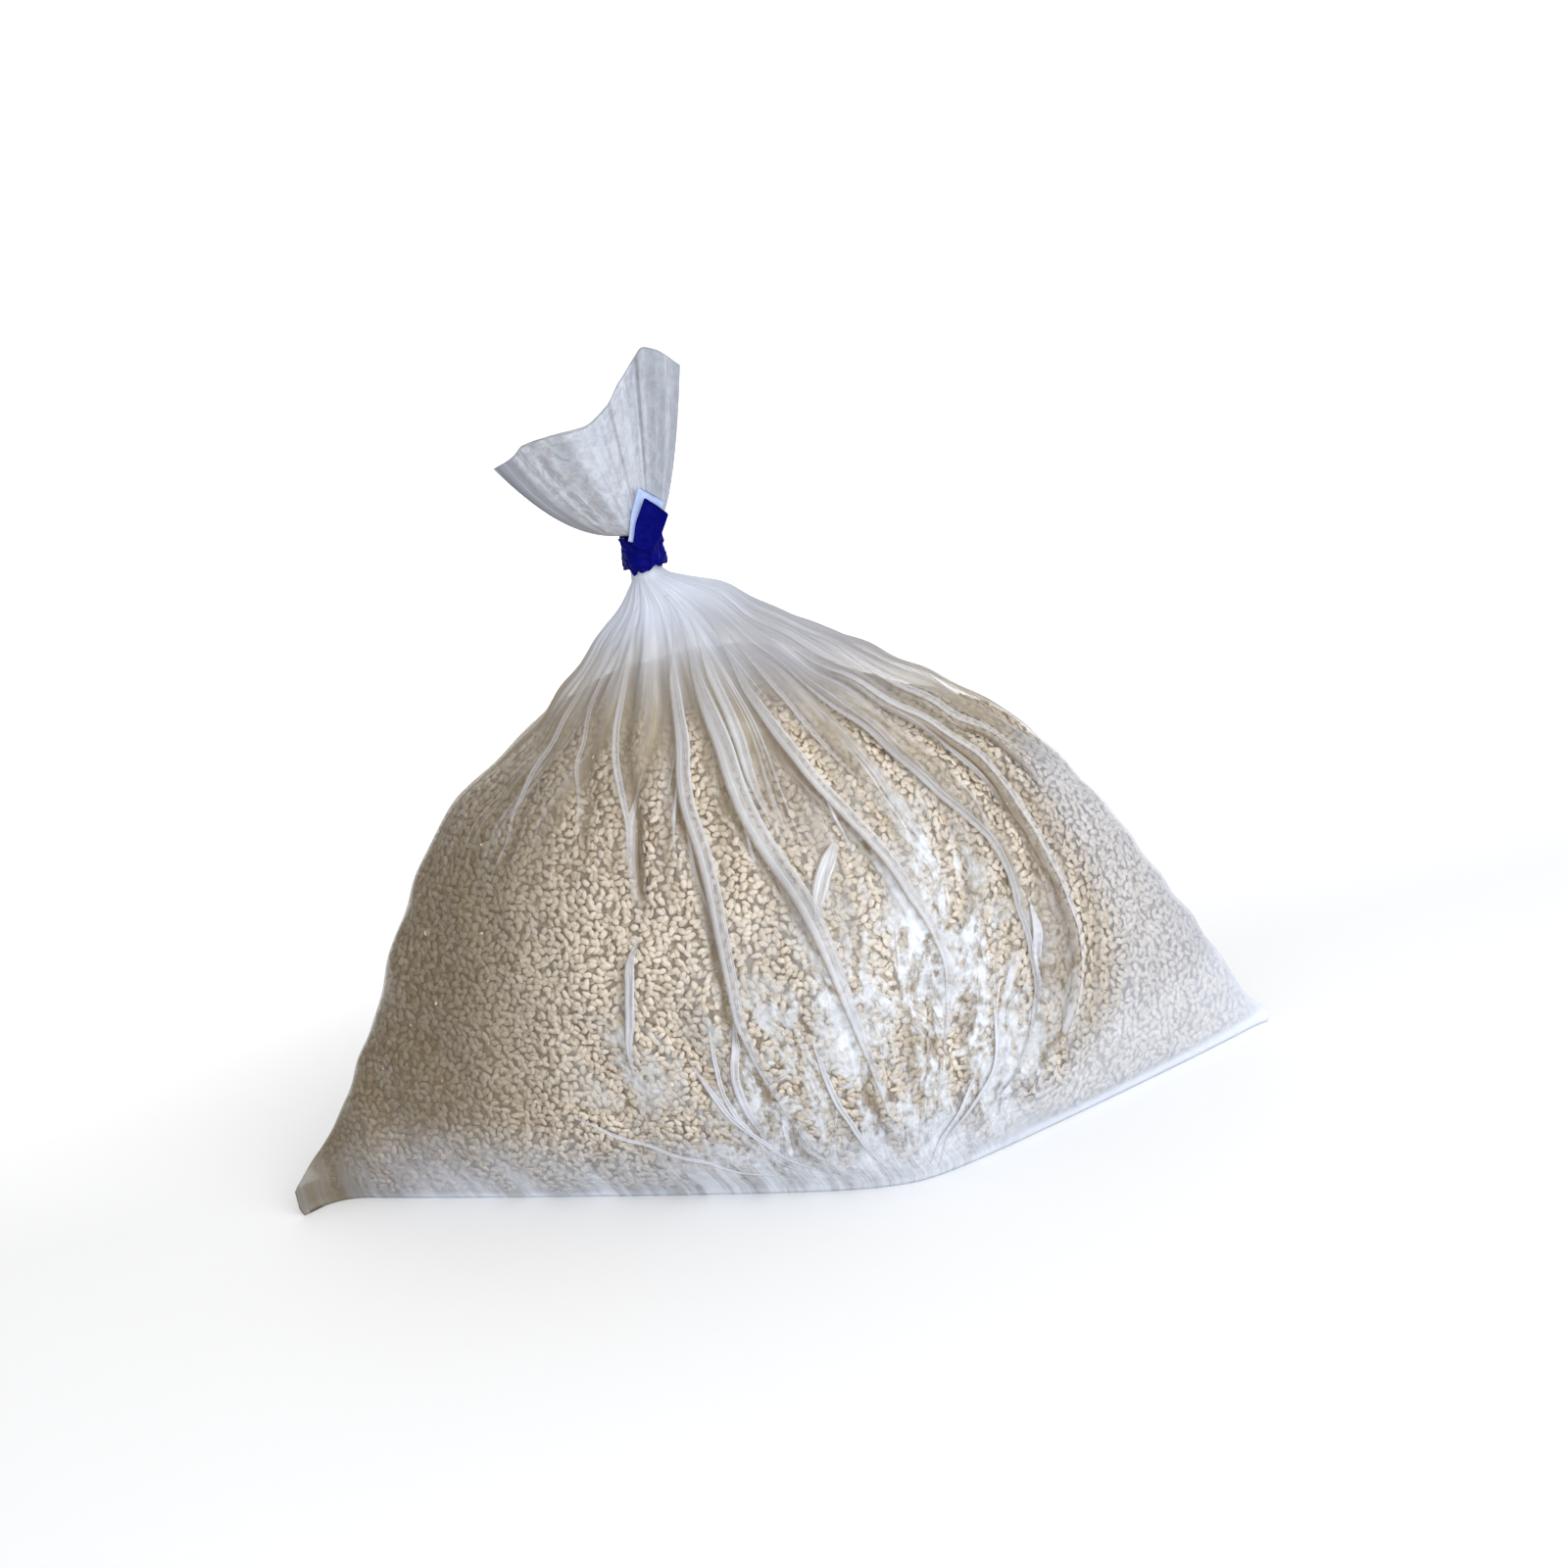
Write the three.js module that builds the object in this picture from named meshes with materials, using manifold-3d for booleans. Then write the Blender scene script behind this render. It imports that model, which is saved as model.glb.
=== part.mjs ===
// A clear plastic bag of hulled sesame seeds, standing on its own weight.
// Millimetres, +Z up. The front faces -Y, +X is to the viewer's right, and the floor is z = 0.
// The bag is one closed skin: flat bottom, pleated belly, gathered neck and pleated tail fan.
// A strip of tape is wound round the neck, and its two ends stand up together as a flag.

import * as THREE from 'three';
import { mergeVertices } from 'three/addons/utils/BufferGeometryUtils.js';
import Module from 'manifold-3d';

const wasm = await Module();
wasm.setup();

// ---------------------------------------------------------------- driving dimensions

// The belly, from the floor up: height, reach to the left and right, depth to the front and
// back, and how round the plan is there (0 is a lens with sharp side folds, 1 is an oval).
const BELLY = [
  { z: 0, left: 136.5, right: 138, front: 51, back: 44, round: 0.06 },
  { z: 2.5, left: 140, right: 140, front: 57, back: 50, round: 0.08 },
  { z: 12, left: 140, right: 135, front: 63, back: 56, round: 0.16 },
  { z: 29, left: 130, right: 127.5, front: 66, back: 59, round: 0.26 },
  { z: 57, left: 113, right: 113.5, front: 63, back: 56, round: 0.4 },
  { z: 80, left: 101, right: 102, front: 57, back: 50, round: 0.5 },
  { z: 110, left: 81.5, right: 79, front: 45, back: 41, round: 0.64 },
  { z: 130, left: 53, right: 52.5, front: 33, back: 30, round: 0.76 },
  { z: 141.5, left: 40, right: 35.5, front: 24, back: 23, round: 0.84 },
  { z: 152, left: 29, right: 19, front: 15, back: 15, round: 0.92 },
  { z: 160, left: 21.5, right: 6, front: 8.5, back: 8.5, round: 1 },
  { z: 166, left: 17, right: -6, front: 5, back: 5, round: 1 },
];
const BELLY_STEPS = 26;
const COLUMNS = 96;

// The front of the base comes to a blunt corner here, where the folds of the film meet.
const FRONT_CORNER_X = 28;
const FRONT_CORNER_BLUNT = 0.1;
const BACK_CORNER_BLUNT = 0.6;

// Pleats that run from the neck down the belly and die out towards the floor.
const PLEATS = 22;
const PLEAT_DEPTH = 1.7;

// The two bottom corners of the film are pinched flat and stick out past the seeds.
const EARS = {
  left: { out: 10, forward: 10, height: 16, spread: 0.42 },
  right: { out: 2.5, forward: 0, height: 10, spread: 0.3 },
};

// The neck inside the tape.
const NECK = { x: -12, bottom: 168, top: 179, radius: 4.5 };

// The rim of the tail fan, from its left tip to its right corner.
const RIM = [
  { at: -1, x: -45.5, y: -6, z: 204 },
  { at: -0.72, x: -38, y: -6.5, z: 208.5 },
  { at: -0.4, x: -27, y: -4.5, z: 209.5 },
  { at: -0.1, x: -16.5, y: -2, z: 213 },
  { at: 0.2, x: -8, y: 1.5, z: 221 },
  { at: 0.45, x: -2, y: 4.5, z: 227 },
  { at: 0.72, x: 2.5, y: 8, z: 225 },
  { at: 1, x: 7, y: 12, z: 219.5 },
];
const TAIL_STEPS = 9;
const TAIL = { gap: 3, wall: 0.9, mouth: 12, pleats: 9, pleatDepth: 1.2, flare: 0.57 };

// The tape: a band round the neck and a flag of its two ends, the back one longer. Each end is
// a strip from its root to its tip, cut off at a slant.
const TAPE = { inner: 5, outer: 5.9, bottom: 168.8, top: 178.2, sides: 40 };
const FLAG_WIDTH = 7.6;
const FLAG_ENDS = [
  { root: { x: -10.6, z: 176 }, tip: { x: -6, z: 186.4 }, slant: 2.4, front: -7, thickness: 0.8 },
  { root: { x: -11, z: 176 }, tip: { x: -6.2, z: 189 }, slant: 1.6, front: -6.4, thickness: 0.8 },
];

// ---------------------------------------------------------------- colours

const FILM = { color: 0xc9c3b6, roughness: 0.35, metalness: 0 };
const TAPE_BLUE = { color: 0x0b1178, roughness: 0.3, metalness: 0 };

// ---------------------------------------------------------------- helpers

// A smooth curve through the named stations that never overshoots them.
function smoothThrough(at, xs, ys) {
  const last = xs.length - 1;
  const rise = (i) => (ys[i + 1] - ys[i]) / (xs[i + 1] - xs[i]);
  const slope = (i) => {
    if (i === 0) return rise(0);
    if (i === last) return rise(last - 1);
    const [before, after] = [rise(i - 1), rise(i)];
    return before * after > 0 ? (2 * before * after) / (before + after) : 0;
  };
  let i = 0;
  while (i < last - 1 && at >= xs[i + 1]) i += 1;
  const width = xs[i + 1] - xs[i];
  const s = (at - xs[i]) / width;
  return (1 + 2 * s) * (1 - s) ** 2 * ys[i] + s * (1 - s) ** 2 * width * slope(i)
    + s * s * (3 - 2 * s) * ys[i + 1] + s * s * (s - 1) * width * slope(i + 1);
}

const clamp01 = (value) => Math.min(1, Math.max(0, value));
const mix = (a, b, share) => a + (b - a) * share;

// Closes a list of equal rings of points into one skin. The first ring starts at a pole.
function skinOf(pole, rings) {
  const points = [pole, ...rings.flat()];
  const faces = [];
  const at = (ring, column) => 1 + ring * COLUMNS + (column % COLUMNS);
  for (let column = 0; column < COLUMNS; column += 1) {
    faces.push(0, at(0, column + 1), at(0, column));
    for (let ring = 0; ring < rings.length - 1; ring += 1) {
      const [a, b] = [at(ring, column), at(ring, column + 1)];
      const [c, d] = [at(ring + 1, column + 1), at(ring + 1, column)];
      faces.push(a, b, c, a, c, d);
    }
  }
  const geometry = new THREE.BufferGeometry();
  geometry.setAttribute('position', new THREE.Float32BufferAttribute(points.flat(), 3));
  geometry.setIndex(faces);
  return withoutEmptyFaces(mergeVertices(geometry, 1e-3));
}

// Drops the faces that merging has shut to a line.
function withoutEmptyFaces(geometry) {
  const index = geometry.index.array;
  const kept = [];
  for (let i = 0; i < index.length; i += 3) {
    const [a, b, c] = [index[i], index[i + 1], index[i + 2]];
    if (a !== b && b !== c && c !== a) kept.push(a, b, c);
  }
  geometry.setIndex(kept);
  return geometry;
}

function solidOf(geometry) {
  const bare = geometry.clone();
  bare.deleteAttribute('normal');
  bare.deleteAttribute('uv');
  const merged = mergeVertices(bare, 1e-4);
  return new wasm.Manifold(new wasm.Mesh({
    numProp: 3,
    vertProperties: new Float32Array(merged.attributes.position.array),
    triVerts: new Uint32Array(merged.index.array),
  }));
}

function geometryOf(solid) {
  const mesh = solid.getMesh();
  const geometry = new THREE.BufferGeometry();
  geometry.setAttribute('position', new THREE.BufferAttribute(mesh.vertProperties, 3));
  geometry.setIndex(new THREE.BufferAttribute(mesh.triVerts, 1));
  return geometry;
}

// ---------------------------------------------------------------- the bag

// How far along the belly each station lies, from 0 at the floor to 1 at the neck.
const stationAt = BELLY.reduce((lengths, station, i) => {
  const before = BELLY[i - 1];
  const step = before ? Math.hypot(station.z - before.z, station.right - before.right) : 0;
  lengths.push((lengths.at(-1) ?? 0) + step);
  return lengths;
}, []).map((length, i, lengths) => length / lengths.at(-1));

const belly = (name, share) => smoothThrough(share, stationAt, BELLY.map((row) => row[name]));

// The plan of the bag at one height: a lens with a blunt corner, blended into an oval.
function planDepth(across, corner, blunt, round) {
  const side = across > corner ? (across - corner) / (1 - corner) : (corner - across) / (1 + corner);
  const crown = Math.hypot(1, blunt);
  const lens = (crown - Math.hypot(side, blunt)) / (crown - blunt);
  return mix(lens, Math.sqrt(Math.max(0, 1 - side * side)), round);
}

// Uneven pleats: a cosine whose spacing drifts round the bag.
function pleat(angle) {
  return Math.cos(PLEATS * angle + 1.3 * Math.sin(2 * angle) + 0.9 * Math.sin(3 * angle + 1));
}

// How far one bottom corner of the film is drawn out at this angle and height.
function earPull(ear, fromTip, z) {
  const round = clamp01(1 - fromTip / ear.spread);
  const low = clamp01(1 - z / ear.height);
  return round * round * low * low;
}

function bellyPoint(angle, share) {
  const z = belly('z', share);
  const [left, right] = [-belly('left', share), belly('right', share)];
  const [middle, half] = [(left + right) / 2, (right - left) / 2];
  const low = clamp01(1 - z / NECK.bottom);
  const isFront = Math.sin(angle) < 0;
  const corner = isFront ? ((FRONT_CORNER_X - middle) / half) * low ** 0.7 : 0;
  const blunt = isFront ? FRONT_CORNER_BLUNT + 0.9 * (1 - low) : BACK_CORNER_BLUNT;
  const depth = belly(isFront ? 'front' : 'back', share) * (isFront ? -1 : 1);

  const across = Math.cos(angle);
  const outward = new THREE.Vector2(across / half, Math.sin(angle) / Math.abs(depth)).normalize();
  const fold = PLEAT_DEPTH * pleat(angle) * clamp01(z / 60) * clamp01(half / 14);
  const x = middle + half * across + outward.x * fold;
  const y = depth * planDepth(across, corner, blunt, belly('round', share)) + outward.y * fold;

  const leftPull = earPull(EARS.left, Math.abs(angle - Math.PI), z);
  const rightPull = earPull(EARS.right, Math.min(angle, 2 * Math.PI - angle), z);
  return [
    x - EARS.left.out * leftPull + EARS.right.out * rightPull,
    y - EARS.left.forward * leftPull - EARS.right.forward * rightPull,
    z,
  ];
}

const neckPoint = (angle, z) => [
  NECK.x + NECK.radius * Math.cos(angle),
  NECK.radius * Math.sin(angle),
  z,
];

const rim = (name, across) => smoothThrough(across, RIM.map((p) => p.at), RIM.map((p) => p[name]));

// The tail fan: each column climbs from the neck to its place on the rim. The near and the far
// half of the film lie side by side, `gap` from the fan's middle, and are pleated alike.
function tailPoint(angle, share, gap) {
  const across = Math.cos(angle);
  const start = neckPoint(angle, NECK.top);
  const flare = mix(TAIL.flare, 1, clamp01((across + 1) / 1.3));
  const outwards = share ** flare;
  const pleats = TAIL.pleatDepth * Math.cos(TAIL.pleats * across + Math.sin(4 * across));
  const aside = gap * Math.sin(angle) + pleats;
  return [
    mix(start[0], rim('x', across), outwards),
    mix(start[1], rim('y', across) + aside, outwards),
    mix(start[2], rim('z', across), share),
  ];
}

// The bottom of the mouth, between the two halves of the film: deepest halfway along the rim.
function mouthPoint(angle) {
  const across = Math.cos(angle);
  const [x, y, z] = tailPoint(angle, 1, 0);
  return [x, y, z - TAIL.mouth * (1 - across * across)];
}

function bagGeometry() {
  const angles = Array.from({ length: COLUMNS }, (_, i) => (2 * Math.PI * i) / COLUMNS);
  const ring = (point) => angles.map(point);
  const rings = [];
  for (let i = 0; i <= BELLY_STEPS; i += 1) {
    rings.push(ring((angle) => bellyPoint(angle, i / BELLY_STEPS)));
  }
  rings.push(ring((angle) => neckPoint(angle, NECK.bottom)));
  for (let i = 0; i <= TAIL_STEPS; i += 1) {
    rings.push(ring((angle) => tailPoint(angle, i / TAIL_STEPS, TAIL.gap)));
  }
  rings.push(ring((angle) => tailPoint(angle, 1, TAIL.gap - TAIL.wall)));
  rings.push(ring(mouthPoint));
  return skinOf([0, 0, 0], rings);
}

// ---------------------------------------------------------------- the tape

function bandGeometry() {
  const { inner, outer, bottom, top, sides } = TAPE;
  const profile = [[inner, bottom], [outer, bottom], [outer, top], [inner, top], [inner, bottom]];
  const band = new THREE.LatheGeometry(profile.map(([r, z]) => new THREE.Vector2(r, z)), sides);
  band.rotateX(Math.PI / 2);
  band.translate(NECK.x, 0, 0);
  return band;
}

// One end of the tape: a strip that leans to the right, in front of the band.
function flagEndGeometry({ root, tip, slant, front, thickness }) {
  const along = new THREE.Vector2(tip.x - root.x, tip.z - root.z).normalize();
  const across = new THREE.Vector2(along.y, -along.x);
  const corner = (end, side, extra) => new THREE.Vector2(end.x, end.z)
    .addScaledVector(across, (side * FLAG_WIDTH) / 2)
    .addScaledVector(along, extra);
  const outline = new THREE.Shape([
    corner(root, -1, 0), corner(root, 1, 0), corner(tip, 1, -slant), corner(tip, -1, slant),
  ]);
  const flag = new THREE.ExtrudeGeometry(outline, { depth: thickness, bevelEnabled: false });
  flag.rotateX(Math.PI / 2);
  flag.translate(0, front + thickness, 0);
  return flag;
}

// ---------------------------------------------------------------- the assembly

function named(name, geometry, finish) {
  const mesh = new THREE.Mesh(geometry, new THREE.MeshStandardMaterial(finish));
  mesh.name = name;
  return mesh;
}

const tape = [bandGeometry(), ...FLAG_ENDS.map(flagEndGeometry)]
  .map(solidOf)
  .reduce((joined, piece) => joined.add(piece));

const sesameBag = new THREE.Group();
sesameBag.add(named('bag', bagGeometry(), FILM));
sesameBag.add(named('neck_tape', geometryOf(tape), TAPE_BLUE));

// The origin is on the floor, under the middle of the whole.
const whole = new THREE.Box3().setFromObject(sesameBag);
sesameBag.position.set(-(whole.min.x + whole.max.x) / 2, -(whole.min.y + whole.max.y) / 2, 0);

export default sesameBag;
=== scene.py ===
import math

import bpy
import numpy as np
from bpy.props import FloatProperty, FloatVectorProperty, IntProperty, PointerProperty
from bpy.types import Operator, Panel, PropertyGroup
from mathutils import Matrix, Vector


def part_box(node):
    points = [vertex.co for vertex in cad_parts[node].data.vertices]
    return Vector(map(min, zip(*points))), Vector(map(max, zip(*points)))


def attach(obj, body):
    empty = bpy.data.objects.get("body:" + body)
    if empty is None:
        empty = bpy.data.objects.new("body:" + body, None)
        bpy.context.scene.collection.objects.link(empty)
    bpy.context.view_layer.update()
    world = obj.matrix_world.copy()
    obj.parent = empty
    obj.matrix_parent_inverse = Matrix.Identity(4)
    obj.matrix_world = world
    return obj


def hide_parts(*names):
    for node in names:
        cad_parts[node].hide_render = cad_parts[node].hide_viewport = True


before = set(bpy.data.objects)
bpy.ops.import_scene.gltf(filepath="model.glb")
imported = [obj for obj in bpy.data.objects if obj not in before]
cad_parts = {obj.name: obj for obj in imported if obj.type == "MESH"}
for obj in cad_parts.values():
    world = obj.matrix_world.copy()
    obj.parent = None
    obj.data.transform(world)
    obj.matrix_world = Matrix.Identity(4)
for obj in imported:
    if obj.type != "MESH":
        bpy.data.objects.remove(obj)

bl_info = {
    "name": "Bag of sesame seeds",
    "version": (1, 0, 0),
    "blender": (4, 5, 0),
    "location": "3D View > Sidebar > Sesame bag",
    "description": "Clear film, a heap of hulled sesame seeds and a blue tape round the neck",
    "category": "Add Mesh",
}

# The shapes are worked out in millimetres, in the bag maker's frame: the front faces -Y, the
# floor is z = 0 and the neck stands at x = NECK_X. to_frame() takes them to the shared frame.
MM = 0.001
TURN = 2 * math.pi

# ------------------------------------------------------------------ the bag's own sizes

# The belly from the floor up: height, reach to the left and right, depth to the front and
# back, and how round the plan is there (0 is a lens with sharp sides, 1 is an oval).
BELLY = {
    "z": (0, 2.5, 12, 29, 57, 80, 110, 130, 141.5, 152, 160, 166),
    "left": (139, 140, 140, 130, 113, 101, 81.5, 53, 40, 29, 21.5, 17),
    "right": (139, 140, 135, 127.5, 113.5, 102, 79, 52.5, 35.5, 19, 6, -6),
    "front": (55.5, 57.5, 63, 66, 63, 57, 45, 33, 24, 15, 8.5, 5),
    "back": (48.5, 50.5, 56, 59, 56, 50, 41, 30, 23, 15, 8.5, 5),
    "round": (0.06, 0.08, 0.16, 0.26, 0.4, 0.5, 0.64, 0.76, 0.84, 0.92, 1, 1),
}

# The front of the base comes to a blunt corner at FRONT_CORNER_X. The film's lines of pull
# draw in towards the angle BASE_CORNER.
FRONT_CORNER_X = 28
BASE_CORNER = math.radians(280)
FRONT_CORNER_BLUNT = 0.1
BACK_CORNER_BLUNT = 0.6

# The heap lies this far inside the film and off the floor. Above its shoulder it ends in a
# low dome, each given for the left and for the right of the bag.
FILM_ROOM = 1.6
HEAP_FOOT = 0.8
HEAP_SHOULDER = (128, 106)
HEAP_DOME = (14, 24)

# The neck, the place where the belly's film ends inside the tape, the tape, and a collar of
# film that bulges beside the neck on the right.
NECK_X, NECK_RADIUS, NECK_BOTTOM, NECK_TOP = -12, 4.5, 168, 179
FILM_END = NECK_BOTTOM + 3
TAPE_INNER, TAPE_OUTER, TAPE_BOTTOM, TAPE_TOP = 4.7, 5.9, 168.8, 178.2
COLLAR = {"angle": math.radians(345), "share": 0.93, "bulge": 2.6, "width": 0.7,
          "height": 0.035}

# The bottom corners of the film are pinched flat and stick out past the seeds: how far they
# are pulled, how high they are, the height of their blunt edge and their angle from the corner.
LEFT_EAR = {"out": 8, "forward": 8.5, "height": 17, "edge": 8.5, "spread": 0.4}
RIGHT_EAR = {"out": 2.5, "forward": 0, "height": 10, "edge": 2, "spread": 0.3}

# The rim of the tail fan, from its left tip (-1) to its right corner (1).
RIM = {
    "at": (-1, -0.86, -0.72, -0.45, -0.2, 0.05, 0.25, 0.5, 0.66, 0.8, 1),
    "x": (-46.3, -41, -37.3, -29.7, -21.3, -14.2, -10, -4.7, -1.7, 2, 7.3),
    "y": (-5, -6, -6, -5, -4, -2, 0, 1, 2, 6, 9),
    "z": (203.6, 205.6, 208.3, 209.4, 209.8, 213.5, 218.6, 224, 226.8, 225, 219.6),
}
# How far each layer of the tail lies from its middle, the film's thickness, and the powers by
# which its two ends spread. A power of 1 is a straight line from the neck to the rim.
TAIL = {"gap": 2.6, "wall": 0.3, "left_flare": 0.5, "right_flare": 0.62}


def fold(width, valley, side, milk, *path):
    """A fold of the film. It runs down the belly as (share of the way up, degrees round the
    bag), 270 degrees being the front and 360 the right. width is that of the doubled film,
    valley the depth of the groove on its left (-1) or right (1), and milk how much it hides."""
    return {"width": width, "valley": valley, "side": side, "milk": milk, "path": path}


FRONT_FOLDS = {
    "left_outer": fold(1.9, 1.0, 1, 0.36, (0.96, 236), (0.82, 209), (0.68, 213), (0.54, 222),
                       (0.43, 219)),
    "left_middle": fold(1.4, 1.7, 1, 0.3, (0.95, 232), (0.8, 220), (0.68, 227), (0.58, 238),
                        (0.46, 241)),
    "left_inner": fold(2.2, 3.8, 1, 0.46, (0.93, 231), (0.73, 236), (0.55, 250), (0.4, 251)),
    "left_sliver": fold(3.2, 1.4, -1, 0.85, (0.41, 252), (0.35, 250), (0.28, 250), (0.2, 251)),
    "middle": fold(4.4, 3.0, -1, 0.62, (0.97, 273), (0.79, 258), (0.65, 260), (0.49, 264),
                   (0.3, 265), (0.15, 270), (0.02, 276)),
    "middle_branch": fold(2.6, 1.2, 1, 0.6, (0.31, 265), (0.21, 264), (0.14, 266), (0.06, 269)),
    "wide": fold(5.4, 2.2, -1, 0.62, (0.97, 276), (0.78, 268), (0.64, 271), (0.52, 274),
                 (0.41, 278), (0.21, 281), (0.04, 283)),
    "wide_branch": fold(3.6, 1.4, 1, 0.56, (0.95, 284), (0.78, 274), (0.63, 275), (0.53, 277),
                        (0.45, 280)),
    "glint": fold(4.6, 0.6, 1, 0.9, (0.5, 287), (0.44, 281), (0.385, 278)),
    "right_inner": fold(3.6, 3.0, -1, 0.56, (0.93, 294), (0.75, 284), (0.61, 287), (0.45, 293),
                        (0.32, 295), (0.18, 290), (0.08, 286)),
    "right_short": fold(1.9, 1.6, 1, 0.42, (0.9, 296), (0.73, 293), (0.6, 295), (0.51, 299)),
    "right_arc": fold(3.0, 3.6, 1, 0.5, (0.9, 299), (0.69, 305), (0.51, 309), (0.42, 312),
                      (0.34, 310), (0.24, 307), (0.14, 300), (0.03, 285)),
    "panel_edge": fold(2.0, 2.8, -1, 0.5, (0.9, 313), (0.68, 322), (0.53, 325), (0.41, 322),
                       (0.28, 319), (0.2, 314), (0.13, 306), (0.03, 285)),
    "shoulder": fold(2.4, 2.6, -1, 0.42, (0.85, 342), (0.62, 333), (0.51, 338), (0.42, 331)),
    "right_glint": fold(3.0, 2.0, 1, 0.85, (0.34, 313), (0.29, 311), (0.22, 307), (0.16, 303)),
    "lower_left": fold(1.5, 0.9, 1, 0.8, (0.31, 261), (0.2, 262), (0.1, 267), (0.02, 274)),
    "lower_middle": fold(1.9, 1.0, -1, 0.8, (0.26, 274), (0.16, 276), (0.08, 279), (0.01, 281)),
    "lower_right": fold(1.8, 1.2, 1, 0.8, (0.25, 300), (0.15, 296), (0.08, 289), (0.01, 284)),
    "base_left": fold(1.2, 0.6, 1, 0.7, (0.17, 239), (0.12, 250), (0.07, 262), (0.01, 275)),
    "base_middle": fold(1.6, 1.2, 1, 0.75, (0.25, 257), (0.14, 264), (0.07, 271), (0.02, 277)),
    "base_right": fold(1.5, 1.2, -1, 0.75, (0.16, 294), (0.09, 289), (0.02, 283)),
}
BACK_FOLDS = 9

# Film: its haze over the seeds, painted shade where it faces the dim side of the room, where it
# is white, painted shade where it sinks in on the belly and in the tail, its threads, and the
# window's glare on it as a painted highlight.
HAZE_LOW = (0.43, 0.362, 0.262)
DUSK = (0.115, 0.075, 0.02)
SNOW = (0.82, 0.87, 0.98)
SUNK_SHADE = (0.16, 0.105, 0.052)
TAIL_SHADE = (0.28, 0.295, 0.34)
THREAD = (0.66, 0.66, 0.69)
GLARE = (0.87, 0.92, 1.0)
# Doubled film: its dull and its milky streaks, its whiter foot, and the painted highlight and
# painted shade on its two edges.
FOLD_DULL = (0.60, 0.58, 0.575)
FOLD_MILK = (0.76, 0.76, 0.79)
FOLD_FOOT = (0.84, 0.86, 0.94)
FOLD_HIGHLIGHT = (0.9, 0.92, 0.96)
FOLD_EDGE_SHADE = (0.32, 0.25, 0.19)
# Painted shade on seeds deep in the heap or on its dim left side, and at the edge of every seed.
DIM_SEED = (0.37, 0.265, 0.15)
SEED_EDGE_SHADE = (0.37, 0.255, 0.145)
# The heap's core stands for seeds in painted shade, as shares of the dark seeds' colour: on its
# lumps, and between them, where it is darker still.
CORE_SHADES = (0.72, 0.46)
# Stretch marks on the sticky side of the tape.
TAPE_BACK_FLECK = (0.6, 0.7, 0.92)


def frame_shift():
    """How far the bag maker's origin lies from the shared one, read off the tape's box."""
    low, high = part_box("neck_tape")
    return np.array([low.x / MM - (NECK_X - TAPE_OUTER), high.y / MM - TAPE_OUTER, 0])


SHIFT = frame_shift()

# ------------------------------------------------------------------ settings in the sidebar


class FilmSettings(PropertyGroup):
    colour: FloatVectorProperty(
        name="Film", description="What the gathered film looks like", subtype="COLOR",
        default=(0.50, 0.53, 0.61), min=0, max=1)
    veil_low: FloatProperty(
        name="Veil on the seeds", description="How much the film hides where it lies on seeds",
        default=0.08, min=0, max=1, subtype="FACTOR")
    veil_high: FloatProperty(
        name="Veil at the neck", description="How much the gathered film hides",
        default=0.97, min=0, max=1, subtype="FACTOR")
    roughness: FloatProperty(
        name="Roughness", description="How blurred the reflections in the film are",
        default=0.22, min=0, max=1, subtype="FACTOR")


class SeedSettings(PropertyGroup):
    length: FloatProperty(
        name="Length", description="Length of one seed", default=3.0 * MM, unit="LENGTH")
    width: FloatProperty(
        name="Width", description="Width of one seed", default=1.9 * MM, unit="LENGTH")
    thickness: FloatProperty(
        name="Thickness", description="Thickness of one seed", default=0.72 * MM, unit="LENGTH")
    count: IntProperty(
        name="Count", description="How many seeds lie against the film", default=32000, min=100)
    draw: IntProperty(
        name="Random draw", description="Seed of the random draws", default=11)
    pale: FloatVectorProperty(
        name="Pale seeds", description="Colour of the palest seeds", subtype="COLOR",
        default=(0.83, 0.755, 0.655), min=0, max=1)
    dark: FloatVectorProperty(
        name="Dark seeds", description="Colour of the darkest seeds", subtype="COLOR",
        default=(0.65, 0.55, 0.43), min=0, max=1)


class TapeSettings(PropertyGroup):
    blue: FloatVectorProperty(
        name="Tape", description="Colour of the tape's face", subtype="COLOR",
        default=(0.0006, 0.0012, 0.125), min=0, max=1)
    back: FloatVectorProperty(
        name="Back of the tape", description="Colour of the tape's sticky side",
        subtype="COLOR", default=(0.45, 0.56, 0.85), min=0, max=1)


class StageSettings(PropertyGroup):
    window: FloatProperty(
        name="Window light", description="Power of the large light on the right", default=10.5,
        unit="POWER")
    sky: FloatProperty(
        name="Top light", description="Power of the soft light above", default=7, unit="POWER")
    wall: FloatProperty(
        name="Wall light", description="Power of the light on the backdrop", default=24,
        unit="POWER")
    back: FloatProperty(
        name="Back light", description="Power of the soft light from behind", default=3,
        unit="POWER")
    fill: FloatProperty(
        name="Fill light", description="Power of the dim warm light on the left", default=0.6,
        unit="POWER")
    ambient: FloatProperty(
        name="Ambient", description="Strength of the even light from all round", default=0.55)
    floor: FloatVectorProperty(
        name="Floor", description="Colour of the floor and backdrop", subtype="COLOR",
        default=(0.93, 0.93, 0.93), min=0, max=1)


# ------------------------------------------------------------------ numbers and curves


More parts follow.
